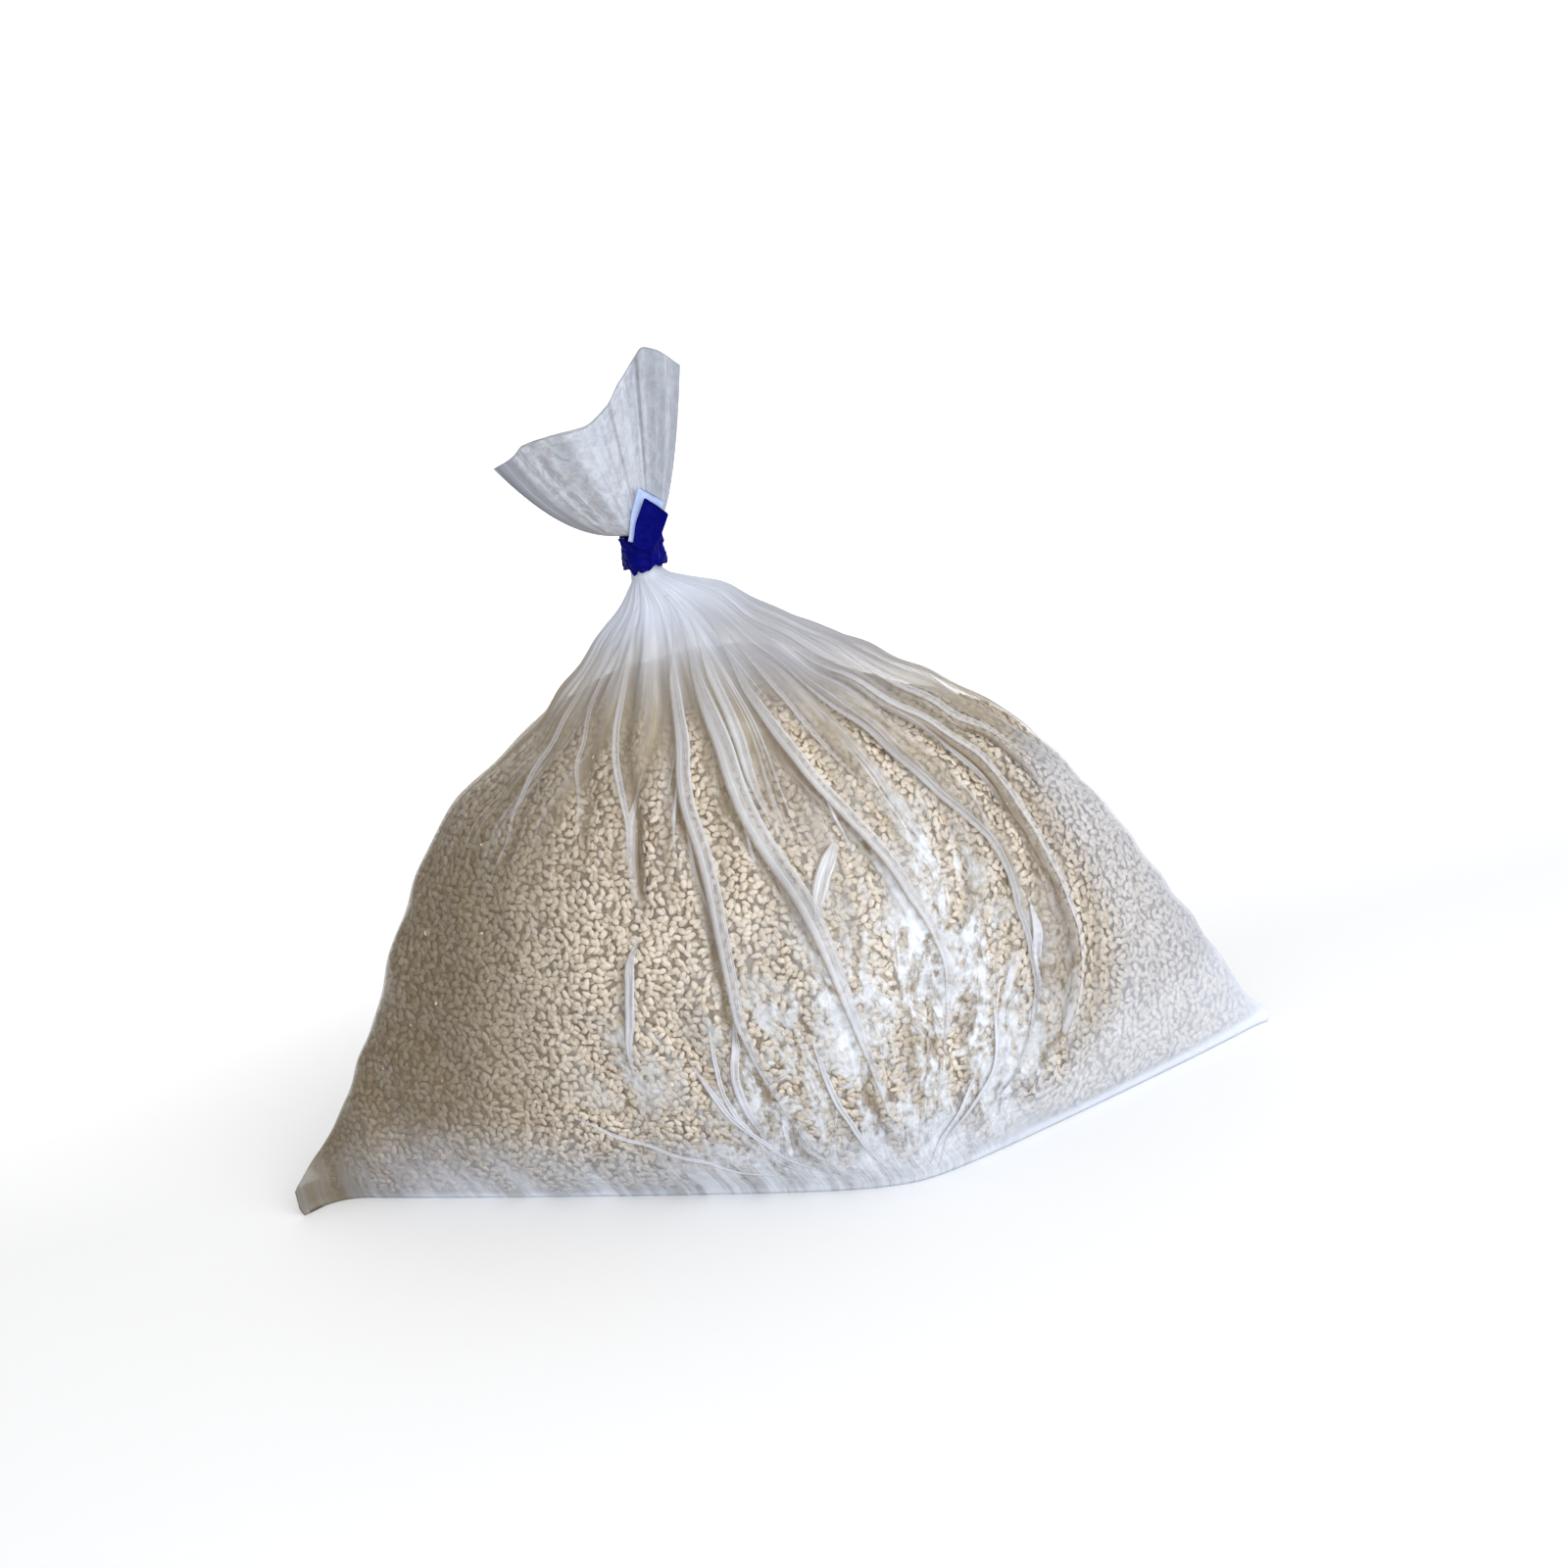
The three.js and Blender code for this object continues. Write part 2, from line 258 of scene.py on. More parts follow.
def smooth_through(at, xs, ys):
    """A cubic curve through the stations (xs, ys). Its slope at a station is the harmonic mean
    of the slopes on both sides, or 0 where those have opposite signs, so it never overshoots."""
    xs, ys = np.asarray(xs, float), np.asarray(ys, float)
    rise = np.diff(ys) / np.diff(xs)
    before, after = rise[:-1], rise[1:]
    total = np.where(before + after == 0, 1, before + after)
    middle = np.where(before * after > 0, 2 * before * after / total, 0)
    slope = np.concatenate([rise[:1], middle, rise[-1:]])
    i = np.clip(np.searchsorted(xs, at, side="right") - 1, 0, len(xs) - 2)
    width = xs[i + 1] - xs[i]
    s = (at - xs[i]) / width
    return ((1 + 2 * s) * (1 - s) ** 2 * ys[i] + s * (1 - s) ** 2 * width * slope[i]
            + s * s * (3 - 2 * s) * ys[i + 1] + s * s * (s - 1) * width * slope[i + 1])


def ramp(value, low, high):
    """0 below low, 1 above high, and the smooth cubic 3t^2 - 2t^3 between them."""
    t = np.clip((value - low) / (high - low), 0, 1)
    return t * t * (3 - 2 * t)


def mix(a, b, share):
    """a where the share is 0 and b where it is 1, on a straight line."""
    return a + (b - a) * share


def bell(value, width):
    """A bell of height 1 whose sides fall as exp(-(value / width)^2)."""
    return np.exp(-((value / width) ** 2))


def turned(angle):
    """An angle brought between -pi and pi."""
    return (angle + math.pi) % TURN - math.pi


def waves(points, wavelength, count, draw):
    """Smooth lumps between about -1 and 1: the mean of `count` sine waves whose directions,
    phases and wavelengths, 0.7 to 1.5 times the given one, are drawn at random."""
    rng = np.random.default_rng(draw)
    direction = rng.normal(size=(count, 3))
    direction /= np.linalg.norm(direction, axis=1, keepdims=True)
    rate = TURN / (wavelength * rng.uniform(0.7, 1.5, count))
    phase = rng.uniform(0, TURN, count)
    total = np.zeros(points.shape[:-1])
    for way, k, start in zip(direction, rate, phase):
        total += np.sin(k * (points @ way) + start)
    return total * math.sqrt(2 / count) / 1.6


def normals_of(points):
    """Unit normals of a grid whose columns close on themselves: the cross product of the
    differences to the neighbours along the row and up the column."""
    along = np.roll(points, -1, axis=1) - np.roll(points, 1, axis=1)
    normal = np.cross(along, np.gradient(points, axis=0))
    return normal / np.maximum(np.linalg.norm(normal, axis=-1, keepdims=True), 1e-9)


# ------------------------------------------------------------------ the bag's form


def station_shares():
    """How far along the belly each station lies: 0 at the floor and 1 at the neck."""
    step = np.hypot(np.diff(BELLY["z"]), np.diff(BELLY["right"]))
    return np.concatenate([[0], np.cumsum(step)]) / step.sum()


STATION_SHARES = station_shares()


def belly_size(name, share):
    return smooth_through(share, STATION_SHARES, BELLY[name])


def plan_depth(across, corner, blunt, roundness):
    """The plan at one height, 0 at the sides and 1 at the corner: a lens, which is a hyperbola
    with the given bluntness on each side of the corner, blended into half an ellipse."""
    side = np.where(across > corner, (across - corner) / (1 - corner),
                    (corner - across) / (1 + corner))
    crown = np.hypot(1, blunt)
    lens = (crown - np.hypot(side, blunt)) / (crown - blunt)
    return mix(lens, np.sqrt(np.clip(1 - side * side, 0, 1)), roundness)


def belly_point(angle, share, left_inset=0.0, right_inset=0.0, depth_inset=0.0):
    """The smooth belly. x runs as the cosine of the angle between the side reaches, y is the
    front or back depth times plan_depth, and z is the station's height. Insets move the
    surface in from the left, from the right, and from the front and back."""
    z = belly_size("z", share)
    left = -belly_size("left", share) + left_inset
    right = belly_size("right", share) - right_inset
    middle, half = (left + right) / 2, np.maximum((right - left) / 2, 1)
    low = np.clip(1 - z / NECK_BOTTOM, 0, 1)
    is_front = np.sin(angle) < 0
    corner = np.where(is_front, (FRONT_CORNER_X - middle) / half * low ** 0.7, 0)
    blunt = np.where(is_front, FRONT_CORNER_BLUNT + 0.9 * (1 - low), BACK_CORNER_BLUNT)
    reach = np.where(is_front, belly_size("front", share), belly_size("back", share))
    depth = np.maximum(reach - depth_inset, 1) * np.where(is_front, -1, 1)
    across = np.cos(angle)
    y = depth * plan_depth(across, corner, blunt, belly_size("round", share))
    return np.stack([middle + half * across, y, z + 0 * across], -1)


def ear_pull(ear, from_tip, z):
    """How much of an ear's reach applies. It falls off with the square of the angle from the
    corner, and above the ear's blunt edge with the height to the power 1.3."""
    around = np.clip(1 - from_tip / ear["spread"], 0, 1)
    low = np.clip((ear["height"] - z) / (ear["height"] - ear["edge"]), 0, 1)
    return around ** 2 * low ** 1.3


def with_ears(points, angle):
    """Pulls the two bottom corners of the film out to the sides and forward."""
    left = ear_pull(LEFT_EAR, np.abs(angle - math.pi), points[..., 2])
    right = ear_pull(RIGHT_EAR, np.minimum(angle, TURN - angle), points[..., 2])
    pulled = points.copy()
    pulled[..., 0] += RIGHT_EAR["out"] * right - LEFT_EAR["out"] * left
    pulled[..., 1] -= RIGHT_EAR["forward"] * right + LEFT_EAR["forward"] * left
    return pulled


def all_folds():
    """The front's folds, and plainer ones round the back: evenly spaced with a drawn drift."""
    folds = dict(FRONT_FOLDS)
    rng = np.random.default_rng(5)
    for i in range(BACK_FOLDS):
        middle = 12 + 160 * (i + 0.5) / BACK_FOLDS + rng.uniform(-5, 5)
        lean, low = rng.uniform(-9, 9), rng.uniform(0.08, 0.4)
        side = 1 if rng.random() < 0.5 else -1
        folds[f"back_{i + 1}"] = fold(
            rng.uniform(2, 4.4), rng.uniform(1.2, 3), side, rng.uniform(0.35, 0.5),
            (0.95, middle - lean), (0.7, middle), (0.5, middle + lean), (low, middle + 1.5 * lean))
    return folds


FOLDS = all_folds()


def fold_angle(bend, share):
    """The angle of a fold at a share of the way up, kept still past its ends."""
    shares, degrees = zip(*reversed(bend["path"]))
    return np.radians(smooth_through(np.clip(share, shares[0], shares[-1]), shares, degrees))


def fold_strength(bend, share):
    """1 along the fold, fading to 0 at both of its ends."""
    top, bottom = bend["path"][0][0], bend["path"][-1][0]
    fade = min(0.1, 0.4 * (top - bottom))
    return ramp(share, bottom, bottom + fade) * ramp(top - share, 0, fade)


def fold_relief(angle, share, reach):
    """How far each place is raised, 1 for the middle of one fold, the millimetres of valley
    pressed beside a fold, and how far a fold covers the place, 0 to 1. All are bells over the
    distance from the fold, which is the angle from it times the reach."""
    ridge = np.zeros(angle.shape)
    valley = np.zeros(angle.shape)
    cover = np.zeros(angle.shape)
    spread = 1.3 + 1.6 * ramp(share, 0.45, 0.8)
    for bend in FOLDS.values():
        strength = fold_strength(bend, share)
        away = turned(angle - fold_angle(bend, share)) * reach
        beside = away - bend["side"] * (0.5 * bend["width"] + 1.3)
        ridge += strength * bell(away, 0.7 * bend["width"])
        valley = np.maximum(valley, strength * bend["valley"] * bell(beside, spread))
        cover = np.maximum(cover, strength * bell(away, 0.9 * bend["width"] + 0.8))
    return ridge, valley, cover


def pull_line(angle, share):
    """The line of pull that a point lies on, named by its angle at the neck. Lines run
    straight down to half way and then draw in towards the front base corner, by a strength
    times the angle from that corner times a bell of it."""
    away = turned(angle - BASE_CORNER)
    return angle + 1.4 * ramp(0.5 - share, 0, 0.5) * away * bell(away, 0.9)


def on_panel(angle, share):
    """1 on the smooth panel from the front folds to the right side, fading out on the back."""
    edge = fold_angle(FOLDS["panel_edge"], share)
    front = ramp(-np.sin(angle), -0.75, -0.1)
    return front * ramp(turned(angle - edge), 0.02, 0.24) * ramp(0.58 - share, 0, 0.14)


def grooves(angle, share):
    """Creases in the heap between the gathers, 0 to 1: the squares of 1 - |sin| along the
    lines of pull, of two spacings that drift. They are strong high up and right of the middle,
    faint on the left, and gone on the smooth panel."""
    line = pull_line(angle, share)
    coarse = 1 - np.abs(np.sin(23 * line + 1.5 * np.sin(3 * line + 4 * share)))
    fine = 1 - np.abs(np.sin(41 * line + 2 * np.sin(5 * line - 6 * share + 1)))
    right = ramp(turned(angle - BASE_CORNER), -0.2, 0.4) * ramp(-np.sin(angle), 0, 0.3)
    strength = np.maximum(ramp(share, 0.34, 0.6), 0.9 * right * ramp(share, 0.03, 0.16))
    strength *= 1 - 0.65 * ramp(-np.cos(angle), 0.25, 0.7)
    strength *= 1 - 0.95 * on_panel(angle, share)
    return strength * np.maximum(coarse ** 2, 0.6 * fine ** 2)


def pleats(angle, share):
    """Gathers that fan out from the neck, in millimetres: two cosines round the bag whose
    spacing drifts, the finer one dying out lower down than the coarse one."""
    coarse = np.cos(22 * angle + 1.3 * np.sin(2 * angle) + 0.9 * np.sin(3 * angle + 1))
    fine = np.cos(61 * angle + 2.1 * np.sin(3 * angle) + 1.7 * np.sin(5 * angle + 2))
    return 0.75 * coarse * ramp(share, 0.55, 0.88) + 0.35 * fine * ramp(share, 0.6, 0.9)


def grid(rows, columns, low=0.0, high=1.0):
    """Angles and shares of a grid of rows up the bag and columns round it."""
    angle = np.arange(columns) * TURN / columns
    return np.meshgrid(angle, np.linspace(low, high, rows))


def reach_of(points):
    """Millimetres of surface for each radian round the bag."""
    step = TURN / points.shape[1]
    along = np.roll(points, -1, axis=1) - np.roll(points, 1, axis=1)
    return np.linalg.norm(along, axis=-1) / (2 * step)


def dents(angle, share, points):
    """What the film and the heap have in common: the folds' ridges and valleys, creases,
    slight lumps in millimetres, and 1 less how much a fold smooths what lies below it."""
    ridge, valley, cover = fold_relief(angle, share, reach_of(points))
    lumps = waves(points, 16, 14, 3) * ramp(points[..., 2], 0, 20)
    smooth = 1 - 0.92 * cover
    return ridge, valley, smooth * grooves(angle, share), 0.6 * lumps, smooth


def film_surface(angle, share):
    """The belly's film: the smooth belly plus the collar, ridges, valleys, gathers, creases
    and slight lumps along its normal, with the two bottom corners pulled out."""
    bare = belly_point(angle, share)
    ridge, valley, groove, lumps, smooth = dents(angle, share, bare)
    room = np.clip(belly_size("right", share) + belly_size("left", share), 0, 60) / 60
    gathers = smooth * pleats(angle, share) * (1 - 0.75 * ramp(share, 0.78, 0.93))
    groove *= 1 - 0.7 * ramp(share, 0.72, 0.9)
    collar = COLLAR["bulge"] * bell(turned(angle - COLLAR["angle"]), COLLAR["width"])
    collar *= bell(share - COLLAR["share"], COLLAR["height"])
    relief = collar + 0.2 * ridge - 0.5 * valley + room * (gathers - 0.6 * groove) + lumps
    relief *= ramp(bare[..., 2], -1, 8)
    points = with_ears(bare + normals_of(bare) * relief[..., None], angle)
    points[..., 2] = np.maximum(points[..., 2], 0)
    return points


def heap_surface(angle, share):
    """The seeds' heap under the film: the belly set in by the seeds' room, rounded at its
    foot, with deeper valleys, and its height above the shoulder pressed together as
    H (1 - exp(-(z - shoulder) / H)), so that it ends in a dome below the gathered film."""
    z = belly_size("z", share)
    foot = np.clip(1 - z / 6, 0, 1) ** 2
    bare = belly_point(angle, share, 2 * foot, 0.3 + 2 * foot, 0.7 * foot)
    _, valley, groove, lumps, _ = dents(angle, share, bare)
    relief = -valley - 1.5 * groove + lumps - FILM_ROOM
    points = bare + normals_of(bare) * relief[..., None]
    to_right = ramp(points[..., 0], 5, 60)
    shoulder = mix(*HEAP_SHOULDER, to_right)
    dome = mix(*HEAP_DOME, to_right)
    over = np.maximum(points[..., 2] - shoulder, 0)
    points[..., 2] = np.minimum(points[..., 2], shoulder) + dome * (1 - np.exp(-over / dome))
    points[..., 2] = np.maximum(points[..., 2], HEAP_FOOT)
    return points


# ------------------------------------------------------------------ meshes


def to_frame(points):
    """Millimetres in the bag maker's frame, as metres in the shared one."""
    return (np.asarray(points, float) + SHIFT) * MM


def new_piece(name, points, faces, uv=None, values=None):
    """A smooth-shaded mesh object. points are millimetres in the bag maker's frame, faces a
    list of index arrays of equal rows, uv one pair for each corner of those faces, and values
    named numbers, one a point."""
    mesh = bpy.data.meshes.new(name)
    corners = np.concatenate([block.ravel() for block in faces]).astype(np.int32)
    sizes = np.concatenate([np.full(len(block), block.shape[1]) for block in faces])
    mesh.vertices.add(len(points))
    mesh.vertices.foreach_set("co", to_frame(points).astype(np.float32).ravel())
    mesh.loops.add(len(corners))
    mesh.loops.foreach_set("vertex_index", corners)
    mesh.polygons.add(len(sizes))
    starts = np.concatenate([[0], np.cumsum(sizes)[:-1]]).astype(np.int32)
    mesh.polygons.foreach_set("loop_start", starts)
    mesh.polygons.foreach_set("use_smooth", np.ones(len(sizes), bool))
    mesh.update(calc_edges=True)
    if uv is not None:
        layer = mesh.uv_layers.new(name="UVMap")
        layer.data.foreach_set("uv", uv.astype(np.float32).ravel())
    for label, numbers in (values or {}).items():
        attribute = mesh.attributes.new(label, "FLOAT", "POINT")
        attribute.data.foreach_set("value", numbers.astype(np.float32).ravel())
    if mesh.validate():
        raise RuntimeError(f"{name} had faces that don't hold together")
    piece = bpy.data.objects.new(name, mesh)
    bpy.context.scene.collection.objects.link(piece)
    return piece


def tube(name, points, low_pole=None, high_pole=None, values=None):
    """Closes a grid of rings into one skin, with a pole at each end, or end on end without
    poles. Its UV map holds the share round and the share along."""
    rows, columns = points.shape[:2]
    closed = low_pole is None and high_pole is None
    row, column = np.meshgrid(np.arange(rows - (not closed)), np.arange(columns), indexing="ij")
    corner_row = np.stack([row, row, row + 1, row + 1], -1).reshape(-1, 4)
    corner_column = np.stack([column, column + 1, column + 1, column], -1).reshape(-1, 4)
    faces = [corner_row % rows * columns + corner_column % columns]
    uv = [np.stack([corner_column / columns, corner_row / (rows - (not closed))], -1)]
    flat = [points.reshape(-1, 3)]
    column = np.arange(columns)
    ends = ((low_pole, 0, 0.0), (high_pole, rows - 1, 1.0))
    for number, (pole, ring, along) in enumerate(end for end in ends if end[0] is not None):
        flat.append(np.array([pole], float))
        pair = [column + 1, column] if along == 0 else [column, column + 1]
        tip = np.full(columns, rows * columns + number)
        faces.append(np.stack([ring * columns + pair[0] % columns,
                               ring * columns + pair[1] % columns, tip], -1))
        around = np.stack([*pair, column + 0.5], -1) / columns
        uv.append(np.stack([around, np.full(around.shape, along)], -1))
    added = len(flat) - 1
    values = {label: np.concatenate([np.ravel(numbers), np.zeros(added) + np.ravel(numbers)[0]])
              for label, numbers in (values or {}).items()}
    uv = np.concatenate([block.reshape(-1, 2) for block in uv])
    return new_piece(name, np.concatenate(flat), faces, uv, values)


def flat_tube(path, across, lift, width, thickness, columns=14):
    """Rings of a pressed-flat tube along a path. Ring points lie at width / 2 times the cosine
    across the path and thickness / 2 times one plus the sine above it."""
    around = np.arange(columns) * TURN / columns
    aside = 0.5 * width[:, None] * np.cos(around)
    above = 0.5 * thickness[:, None] * (1 + np.sin(around))
    return (path[:, None] + aside[..., None] * across[:, None]
            + above[..., None] * lift[:, None])


# ------------------------------------------------------------------ shader maths


class Wire:
    """One output socket in a shader. Arithmetic on it adds Math nodes to the same shader."""

    def __init__(self, shader, socket):
        self.shader = shader
        self.socket = socket

    def maths(self, operation, *values):
        return self.shader.add("ShaderNodeMath", {"operation": operation},
                               dict(enumerate(values)))

    def __add__(self, other):
        return self.maths("ADD", self, other)

    def __sub__(self, other):
        return self.maths("SUBTRACT", self, other)

    def __rsub__(self, other):
        return self.maths("SUBTRACT", other, self)

    def __mul__(self, other):
        return self.maths("MULTIPLY", self, other)

    def __truediv__(self, other):
        return self.maths("DIVIDE", self, other)

    def __rtruediv__(self, other):
        return self.maths("DIVIDE", other, self)

    __radd__ = __add__
    __rmul__ = __mul__

    def at_most(self, other):
        return self.maths("MINIMUM", self, other)

    def at_least(self, other):
        return self.maths("MAXIMUM", self, other)

    def between(self, low, high, to_low=0.0, to_high=1.0):
        """This value taken smoothly from low..high to to_low..to_high."""
        if low > high:
            low, high, to_low, to_high = high, low, to_high, to_low
        return self.shader.add(
            "ShaderNodeMapRange", {"interpolation_type": "SMOOTHSTEP"},
            {"Value": self, "From Min": low, "From Max": high,
             "To Min": to_low, "To Max": to_high})


class Shader:
    """A material's nodes. add() makes any of them: settings first, then sockets."""

    def __init__(self, name):
        self.material = bpy.data.materials.new(name)
        self.material.use_nodes = True
        self.tree = self.material.node_tree
        self.tree.nodes.clear()

    def add(self, kind, settings=None, sockets=None, output=0):
        node = self.tree.nodes.new(kind)
        for label, value in (settings or {}).items():
            setattr(node, label, value)
        for label, value in (sockets or {}).items():
            if isinstance(value, Wire):
                self.tree.links.new(value.socket, node.inputs[label])
            else:
                node.inputs[label].default_value = value
        return Wire(self, node.outputs[output]) if node.outputs else node

    def noise(self, vector, scale, detail=3.0, roughness=0.5, distortion=0.0):
        return self.add("ShaderNodeTexNoise", {}, {
            "Vector": vector, "Scale": scale, "Detail": detail, "Roughness": roughness,
            "Distortion": distortion})

    def place(self):
        """Metres in the shared frame."""
        return self.add("ShaderNodeTexCoord", output="Object")

    def pulled(self, around, along):
        """Coordinates that follow the film's pull: a circle of radius `around` that the
        piece's pull_x and pull_y go round, and `along` times the way up."""
        return self.add("ShaderNodeCombineXYZ", {}, {
            "X": self.value("pull_x") * around, "Y": self.value("pull_y") * around,
            "Z": self.value("rise") * along})

    def unwrapped(self, across, along):
        """The piece's UV map, stretched so many times each way."""
        return self.add("ShaderNodeMapping", {}, {
            "Vector": self.add("ShaderNodeUVMap", {"uv_map": "UVMap"}),
            "Scale": (across, along, 1.0)})

    def value(self, name):
        """One of the piece's own numbers, kept at its points."""
        return self.add("ShaderNodeAttribute", {"attribute_name": name}, output="Fac")

    def bump(self, height, distance, strength=1.0):
        return self.add("ShaderNodeBump", {}, {
            "Height": height, "Distance": distance, "Strength": strength})

    def mixed(self, share, low, high):
        """A colour between two others."""
        node = self.tree.nodes.new("ShaderNodeMix")
        node.data_type = "RGBA"
        for socket, value in ((node.inputs[0], share), (node.inputs[6], low),
                              (node.inputs[7], high)):
            if isinstance(value, Wire):
                self.tree.links.new(value.socket, socket)
            elif socket.type == "RGBA":
                socket.default_value = (*value, 1.0)
            else:
                socket.default_value = value
        return Wire(self, node.outputs[2])

    def finish(self, **sockets):
        """The one Principled surface and the output."""
        named = {label.replace("_", " "): value for label, value in sockets.items()}
        surface = self.add("ShaderNodeBsdfPrincipled", {}, named)
        self.add("ShaderNodeOutputMaterial", {}, {"Surface": surface})
        return self.material


def film_material(film, name="clear_film", sunk_shade=SUNK_SHADE):
    """Clear film: a veil that thickens where the film is gathered, streaked along its pull and
    crossed by threads, with painted shade where it sinks in and on its dim side, and a painted
    white glare that breaks up in blotches. The gloss lies in the coat, which is stronger where
    the veil is thin, so clear film shines."""
    shader = Shader(name)
    streak = shader.noise(shader.pulled(15, 2.2), 1.0, 4, 0.6, 0.3)
    hair = shader.noise(shader.pulled(70, 5), 1.0, 2, 0.5, 0.5)
    crease = shader.noise(shader.place(), 110, 3, 0.6, 1.5)
    blotch = shader.noise(shader.pulled(7, 9), 1.0, 6, 0.7, 0.9)
    grain = shader.noise(shader.place(), 360, 2, 0.6)
    calm = shader.value("calm")
    lively = 1 - calm
    gathered = shader.value("rise").between(0.7, 0.86)
    still = calm + lively * gathered
    streaky = still + (1 - still) * streak.between(0.32, 0.7, 0.7, 1.2) * hair.between(
        0.3, 0.75, 0.85, 1.15)
    frayed = blotch + 0.22 * grain - 0.11
    # Painted glare: white patches of the window's reflection, fixed on the film.
    glare = frayed.between(0.4, 0.59) * shader.value("shine") * grain.between(0.3, 0.7, 0.7, 1)
    shade = shader.value("shade") * streak.between(0.25, 0.6, 0.6, 1.0)
    thread = shader.noise(shader.pulled(34, 1.2), 1.0, 2, 0.5, 0.2).between(0.58, 0.68)
    thread *= shader.value("fan")
    dusk = shader.value("dusk")
    clear = ((1 - (shader.value("veil") * streaky).at_most(0.97))
             * (1 - 0.6 * glare) * (1 - 0.88 * shade) * (1 - 0.5 * dusk)
             * (1 - 0.24 * thread))
    alpha = (1 - clear).at_least(0.04).at_most(0.97)
    snow = (shader.value("snow") + lively * streak.between(0.35, 0.65, -0.3, 0.35)).at_least(0.0)
    tone = shader.mixed(snow.at_most(1.0), HAZE_LOW, film.colour)
    tone = shader.mixed((snow - 1).at_least(0.0).at_most(1.0), tone, SNOW)
    # Painted shade: the dusk tone on the dim side, then the sunk tone in the valleys.
    tone = shader.mixed(dusk * 0.8, tone, DUSK)
    tone = shader.mixed(shade, tone, sunk_shade)
    tone = shader.mixed(thread, tone, THREAD)
    tone = shader.mixed(glare.at_most(1.0), tone, GLARE)
    height = lively * (0.4 * hair + 0.5 * streak) + 0.6 * crease
    return shader.finish(
        Base_Color=tone, Roughness=shader.value("rise").between(0.6, 0.9, film.roughness, 0.5),
        Alpha=alpha, IOR=1.5, Coat_Weight=(0.12 / alpha).at_most(1.0), Coat_IOR=2.2,
        Coat_Roughness=0.15, Normal=shader.bump(height, 0.0005))


def fold_material():
    """Doubled film: a milky band with fine lines along its length, a painted highlight as a bright
    hairline on one edge and painted shade as a dark one on the other."""
    shader = Shader("folded_film")
    around = shader.add("ShaderNodeSeparateXYZ", {}, {
        "Vector": shader.add("ShaderNodeUVMap", {"uv_map": "UVMap"})})
    side = around.maths("COSINE", around * TURN)
    # A painted highlight along one edge and painted shade along the other.
    highlight_edge, dark = side.between(0.86, 0.985), side.between(-0.55, -0.97)
    streak = shader.noise(shader.unwrapped(12, 1.1), 1.0, 2, 0.5, 0.2)
    low = shader.value("rise").between(0.45, 0.2)
    half = shader.value("milk") * streak.between(0.3, 0.7, 0.32, 1.0)
    alpha = (half * (1 - 0.5 * dark) + 0.25 * highlight_edge + 0.1 * dark).at_most(0.95)
    tone = shader.mixed(streak.between(0.3, 0.7), FOLD_DULL, FOLD_MILK)
    tone = shader.mixed(low * streak.between(0.25, 0.5), tone, FOLD_FOOT)
    tone = shader.mixed(highlight_edge, tone, FOLD_HIGHLIGHT)
    tone = shader.mixed(dark, tone, FOLD_EDGE_SHADE)
    return shader.finish(
        Base_Color=tone, Roughness=0.35, Alpha=alpha, IOR=1.5, Coat_Weight=0.2, Coat_IOR=1.8,
        Coat_Roughness=0.2, Normal=shader.bump(streak, 0.0002))


def seed_material(seeds):
    """Hulled sesame: each seed has its own tint between two creams, with faint mottling, and
    painted shade makes its edge browner than its crown. A tint below 0 stands for painted shade
    on a seed in the dim."""
    shader = Shader("sesame_seeds")
    tint = shader.value("tint")
    mottle = shader.noise(shader.place(), 700, 3, 0.6)
    share = (tint * 0.8 + mottle * 0.4 - 0.1).at_least(0.0).at_most(1.0)
    tone = shader.mixed(share, tuple(seeds.dark), tuple(seeds.pale))
    # Painted shade on seeds in the dim and at every seed's edge.
    tone = shader.mixed((0 - tint).at_least(0.0).at_most(1.0), tone, DIM_SEED)
    tone = shader.mixed(shader.value("crown").between(0.05, 0.8, 0.62, 0.0), tone, SEED_EDGE_SHADE)
    return shader.finish(
        Base_Color=tone, Roughness=0.5, IOR=1.45,
        Normal=shader.bump(shader.noise(shader.place(), 1500, 2), 0.00008))


def core_material(seeds):
    """What shows between the seeds: more seeds in shade, painted as a dark mottled bump that is
    darker still between its lumps.
    """
    shader = Shader("heap_core")
    cells = shader.add("ShaderNodeTexVoronoi", {"feature": "F1"}, {
        "Vector": shader.place(), "Scale": 420.0})
    light, dark = (tuple(k * c for c in seeds.dark) for k in CORE_SHADES)
    tone = shader.mixed(cells.between(0.1, 0.6), light, dark)
    return shader.finish(
        Base_Color=tone, Roughness=0.7, Normal=shader.bump(1 - cells, 0.0009))


def tape_material(name, colour, fleck):
    """Plastic tape with small stretch marks, which shine in a few spots."""
    shader = Shader(name)
    marks = shader.noise(shader.place(), 320, 4, 0.65, 0.8)
    tone = shader.mixed(marks.between(0.5, 0.8), colour, fleck)
    return shader.finish(
        Base_Color=tone, Roughness=marks.between(0.3, 0.7, 0.25, 0.5), IOR=1.12,
        Coat_Weight=marks.between(0.66, 0.74, 0.0, 0.5), Coat_IOR=1.6, Coat_Roughness=0.1,
        Normal=shader.bump(marks, 0.0006))


# ------------------------------------------------------------------ veil and shine


